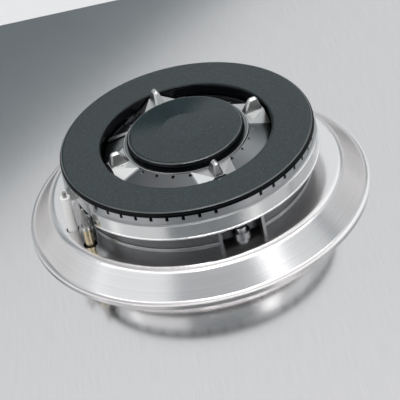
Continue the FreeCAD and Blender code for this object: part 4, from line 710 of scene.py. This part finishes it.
# %% [markdown]
# The two caps are pressed from thick sheet and enamelled. Fired enamel runs back from a sharp edge, so
# every corner is a wide soft curve, and that curve, with the painted highlight on the finish's top-edge
# line, draws a bright line round each cap. The solids keep tighter corners. A bevel on all edges could
# soften them, but it would make every curve alike. So each cap is turned anew: a flat outline gets each
# corner bevelled by its own rounding, and is then spun about the burner's axis. Weighted normals keep its
# flat faces flat beside the curves. It stands in for its solid.

# %% Enamelled caps
ROUNDING_STEPS = 10
FOOT_ROUND = 0.0006
RING_THICK = 0.0033
RING_HOLE = 0.0436
RING_LIP = 0.046
RING_ROUND = 0.0021
HOLE_ROUND = 0.0018


def turned_cap(name, outline, node):
    """Spin an outline of corners, each with its reach, height and rounding, and let it stand for a node.

    The node rides on a body of the same name.
    """
    mesh = bmesh.new()
    corners = [mesh.verts.new((reach, BURNER.y, height)) for reach, height, rounding in outline]
    mesh.faces.new(corners)
    roundings = [rounding for reach, height, rounding in outline]
    for corner, rounding in zip(corners, roundings):
        if rounding > 0.0:
            bmesh.ops.bevel(
                mesh, geom=[corner], offset=rounding, affect="VERTICES", segments=ROUNDING_STEPS,
                profile=0.5, material=-1)
    bmesh.ops.delete(mesh, geom=mesh.faces[:], context="FACES_ONLY")
    on_axis = [edge for edge in mesh.edges if max(vert.co.x for vert in edge.verts) < SUNK]
    bmesh.ops.delete(mesh, geom=on_axis, context="EDGES")
    spin_round(mesh)
    cap = add_piece(name, mesh, node, "enamel")
    flat_faces = cap.modifiers.new("flat_faces", "WEIGHTED_NORMAL")
    flat_faces.keep_sharp = True
    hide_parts(node)


ring_low, ring_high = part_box("outer_cap")
ring_seat = ring_high.z - RING_THICK
turned_cap("outer_cap_ring", [
    (RING_HOLE, ring_low.z, FOOT_ROUND),
    (RING_LIP, ring_low.z, FOOT_ROUND),
    (RING_LIP, ring_seat, 0.0),
    (ring_high.x, ring_seat, FOOT_ROUND),
    (ring_high.x, ring_high.z, RING_ROUND),
    (RING_HOLE, ring_high.z, HOLE_ROUND),
], "outer_cap")

# %% [markdown]
# The inner cap is a disc on a hollow spigot. Its top falls a little from the middle to the edge, and
# the middle has a shallow dish, so faint that only its rim catches the light. The rim could be drawn in
# the finish, but a real step shows from every side.

# %% Inner cap
DISC_THICK = 0.0051
DISC_FALL = 0.0012
DISC_ROUND = 0.0026
SPIGOT_OUT = 0.0286
SPIGOT_IN = 0.0251
DISH_REACH = 0.0105
DISH_EDGE = 0.0008
DISH_DEEP = 0.00003
disc_low, disc_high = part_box("inner_cap")
disc_seat = disc_high.z - DISC_THICK
spigot_roof = disc_seat + (disc_seat - disc_low.z)
turned_cap("inner_cap_disc", [
    (0.0, spigot_roof, 0.0),
    (SPIGOT_IN, spigot_roof, 0.0),
    (SPIGOT_IN, disc_low.z, 0.0),
    (SPIGOT_OUT, disc_low.z, 0.0),
    (SPIGOT_OUT, disc_seat, 0.0),
    (disc_high.x, disc_seat, FOOT_ROUND),
    (disc_high.x, disc_high.z - DISC_FALL, DISC_ROUND),
    (DISH_REACH + DISH_EDGE, disc_high.z, DISH_EDGE),
    (DISH_REACH - DISH_EDGE, disc_high.z - DISH_DEEP, DISH_EDGE / 2),
    (0.0, disc_high.z - DISH_DEEP, 0.0),
], "inner_cap")

# %% [markdown]
# The cook reads the knob by a white line let into its grip. It could be a stripe in the plastic's
# finish, but an inlay has an edge that can be felt. It runs from near the middle to the end that points
# at the marks, so it is a thin slab with rounded ends, sunk in the plastic to half its thickness.

# %% Knob line
LINE_WIDTH = 0.0014
LINE_LONG = 0.0105
LINE_START = 0.004
LINE_PROUD = 0.00015
LINE_ROUND = 0.45
knob_low, knob_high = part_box("knob")
knob_axis = Vector(((knob_low.x + knob_high.x) / 2, (knob_low.y + knob_high.y) / 2, 0.0))
ink = new_finish("white_ink", metallic=0.0)
marks = use_group(ink, skin, Grain_Size=2200.0, Smudge_Size=200.0)
spread_colour(ink, marks["Grain"], (0.74, 0.74, 0.73), (0.84, 0.84, 0.83))
spread_roughness(ink, marks["Smudge"], 0.42, 0.55)


def thicken(mesh, height):
    """Pull a flat sheet of faces up into a closed slab."""
    raised = bmesh.ops.extrude_face_region(mesh, geom=mesh.faces[:], use_keep_orig=True)
    top = [part for part in raised["geom"] if isinstance(part, bmesh.types.BMVert)]
    bmesh.ops.translate(mesh, verts=top, vec=(0.0, 0.0, height))


line = bmesh.new()
middle = knob_axis + Vector((0.0, LINE_START + LINE_LONG / 2, knob_high.z - LINE_PROUD))
bmesh.ops.create_grid(line, x_segments=1, y_segments=1, size=0.5)
bmesh.ops.scale(line, vec=(LINE_WIDTH, LINE_LONG, 1.0), verts=line.verts)
bmesh.ops.bevel(
    line, geom=line.verts[:], offset=LINE_WIDTH * LINE_ROUND, affect="VERTICES", segments=4,
    profile=0.5, material=-1)
thicken(line, LINE_PROUD * 2)
bmesh.ops.translate(line, vec=middle, verts=line.verts)
add_piece("knob_line", line, "knob", "white_plastic", material=ink)

# %% [markdown]
# The plate is printed round the knob in dark ink: a dot for off at the back, a large flame at the left,
# a small flame past the front, and between the flames a band that thins as the flame gets lower. The
# print could be part of the plate's finish, but printed ink stands a few hundredths of a millimetre
# proud, so each mark is a very thin slab on the plate.

# %% Marks on the plate
MARK_RADIUS = 0.031
INK_THICK = 0.00005
OFF_DOT = 0.0036
DOT_SIDES = 32
plate_top = plinth_low.z
print_ink = new_finish("plate_print", metallic=0.0)
marks = use_group(print_ink, skin, Grain_Size=2500.0, Smudge_Size=150.0)
spread_colour(print_ink, marks["Grain"], (0.02, 0.02, 0.022), (0.035, 0.035, 0.038))
spread_roughness(print_ink, marks["Smudge"], 0.4, 0.52)


def mark_place(turn, out=MARK_RADIUS):
    """A point on the plate round the knob; the turn is in degrees from the back, anticlockwise."""
    angle = math.radians(turn)
    return knob_axis + Vector((-math.sin(angle) * out, math.cos(angle) * out, plate_top))


def print_mark(name, mesh, spot):
    """Give a flat outline the ink's thickness, and put it at its spot on the plate."""
    thicken(mesh, INK_THICK)
    bmesh.ops.translate(mesh, vec=spot, verts=mesh.verts)
    add_piece(name, mesh, "hob", "black_plastic", material=print_ink)


dot = bmesh.new()
bmesh.ops.create_circle(dot, segments=DOT_SIDES, radius=OFF_DOT / 2, cap_ends=True)
print_mark("off_mark", dot, mark_place(0.0))

# %% [markdown]
# The two flames could be traced as curves. At a few millimetres a flame needs only its main form, so a
# disc has its back half drawn out to a blunt point.

# %% Flame marks
LARGE_FLAME = 0.0062
SMALL_FLAME = 0.0036
LARGE_TURN = 90.0
SMALL_TURN = 210.0
FLAME_SIDES = 28
FLAME_STRETCH = 1.1
FLAME_NARROWS = 0.45


def flame(size):
    """A flame seen flat: a disc whose back half is drawn out to a blunt point."""
    mesh = bmesh.new()
    bmesh.ops.create_circle(mesh, segments=FLAME_SIDES, radius=size / 2, cap_ends=True)
    for vert in mesh.verts:
        if vert.co.y > 0.0:
            rise = vert.co.y / (size / 2)
            vert.co.y *= 1.0 + FLAME_STRETCH * rise
            vert.co.x *= 1.0 - FLAME_NARROWS * rise
    return mesh


print_mark("large_flame_mark", flame(LARGE_FLAME), mark_place(LARGE_TURN))
print_mark("small_flame_mark", flame(SMALL_FLAME), mark_place(SMALL_TURN))

# %% [markdown]
# The band between the flames is an arc that gets thinner. A curve with a taper could draw it, but a
# mesh needs no conversion: a short line of two points is spun about the knob's axis into a ring sector,
# and then its two edges are drawn together, further the nearer they are to the small flame.

# %% Thinning band
BAND_WIDE = 0.0026
BAND_THIN = 0.0004
BAND_STEPS = 36
GAP_AFTER_LARGE = 12.0
GAP_BEFORE_SMALL = 9.0
band_from = LARGE_TURN + GAP_AFTER_LARGE
band_to = SMALL_TURN - GAP_BEFORE_SMALL
band = bmesh.new()
ends = []
for side in (-1, 1):
    ends.append(band.verts.new(mark_place(band_from, MARK_RADIUS + side * BAND_WIDE / 2) - knob_axis))
edge = band.edges.new(ends)
bmesh.ops.spin(
    band, geom=[*ends, edge], cent=(0, 0, 0), axis=(0, 0, 1), dvec=(0, 0, 0),
    angle=math.radians(band_to - band_from), steps=BAND_STEPS, use_merge=False, use_duplicate=False)
for vert in band.verts:
    turn = math.degrees(math.atan2(-vert.co.x, vert.co.y)) % 360.0
    share = (turn - band_from) / (band_to - band_from)
    side = 1.0 if vert.co.xy.length > MARK_RADIUS else -1.0
    reach = MARK_RADIUS + side * (BAND_WIDE + (BAND_THIN - BAND_WIDE) * share) / 2
    vert.co.xy = vert.co.xy.normalized() * reach
print_mark("flow_mark", band, knob_axis)

# %% [markdown]
# The inlet at the back ends in a pipe thread that the solid leaves plain. A screw modifier could wind
# it. A thread is one ridge wound along the stub, so here a small triangle is spun about the stub's axis
# and moved along it at each step, which is what spin's dvec does, and the mesh is finished at once.

# %% Inlet thread
STUB_RADIUS = 0.01048
STUB_LONG = 0.016
PITCH = 0.00181
RIDGE = 0.0003
RIDGE_HALF = 0.42
STEPS_A_TURN = 40
TURNS = int((STUB_LONG - PITCH) / PITCH) - 1
union_low, union_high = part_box("inlet_union")
inlet_axis = Vector(((union_low.x + union_high.x) / 2, 0.0, (union_low.z + union_high.z) / 2))
first = union_high.y - STUB_LONG + PITCH
thread = bmesh.new()
corners = []
for along, out in ((-RIDGE_HALF, -RIDGE), (0.0, RIDGE), (RIDGE_HALF, -RIDGE)):
    corners.append(thread.verts.new(inlet_axis + Vector((STUB_RADIUS + out, first + along * PITCH, 0.0))))
start_face = thread.faces.new(corners)
bmesh.ops.spin(
    thread, geom=[start_face, *start_face.edges, *corners], cent=inlet_axis, axis=(0, 1, 0),
    dvec=(0.0, PITCH / STEPS_A_TURN, 0.0), angle=2 * math.pi * TURNS, steps=STEPS_A_TURN * TURNS,
    use_merge=False, use_duplicate=False)
add_piece("inlet_thread", thread, "hob", "brass")

# %% [markdown]
# The gland is turned by hand, so its head is ribbed. An array modifier could repeat a rib, but it needs
# an empty to turn about. One rib is a narrow block with its outer edges bevelled, and a spin that
# duplicates sets copies of it round the head.

# %% Gland ribs
RIB_COUNT = 18
RIB_LONG = 0.009
RIB_WIDE = 0.0014
RIB_PROUD = 0.0006
RIB_ROUND = 0.6
RIB_SET_BACK = 0.0012
gland_low, gland_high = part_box("cable_gland")
gland_axis = Vector(((gland_low.x + gland_high.x) / 2, 0.0, (gland_low.z + gland_high.z) / 2))
gland_radius = (gland_high.x - gland_low.x) / 2
ribs = bmesh.new()
bmesh.ops.create_cube(ribs, size=1.0)
bmesh.ops.scale(ribs, vec=(RIB_PROUD * 2, RIB_LONG, RIB_WIDE), verts=ribs.verts)
outer = [edge for edge in ribs.edges if all(end.co.x > 0.0 for end in edge.verts)]
bmesh.ops.bevel(
    ribs, geom=outer, offset=RIB_PROUD * RIB_ROUND, affect="EDGES", segments=2, profile=0.5, material=-1)
spot = Vector((gland_radius, gland_high.y - RIB_LONG / 2 - RIB_SET_BACK, 0.0))
bmesh.ops.translate(ribs, vec=gland_axis + spot, verts=ribs.verts)
bmesh.ops.spin(
    ribs, geom=[*ribs.verts, *ribs.edges, *ribs.faces], cent=gland_axis, axis=(0, 1, 0), dvec=(0, 0, 0),
    angle=2 * math.pi * (RIB_COUNT - 1) / RIB_COUNT, steps=RIB_COUNT - 1,
    use_merge=False, use_duplicate=True)
add_piece("gland_ribs", ribs, "hob", "black_plastic")
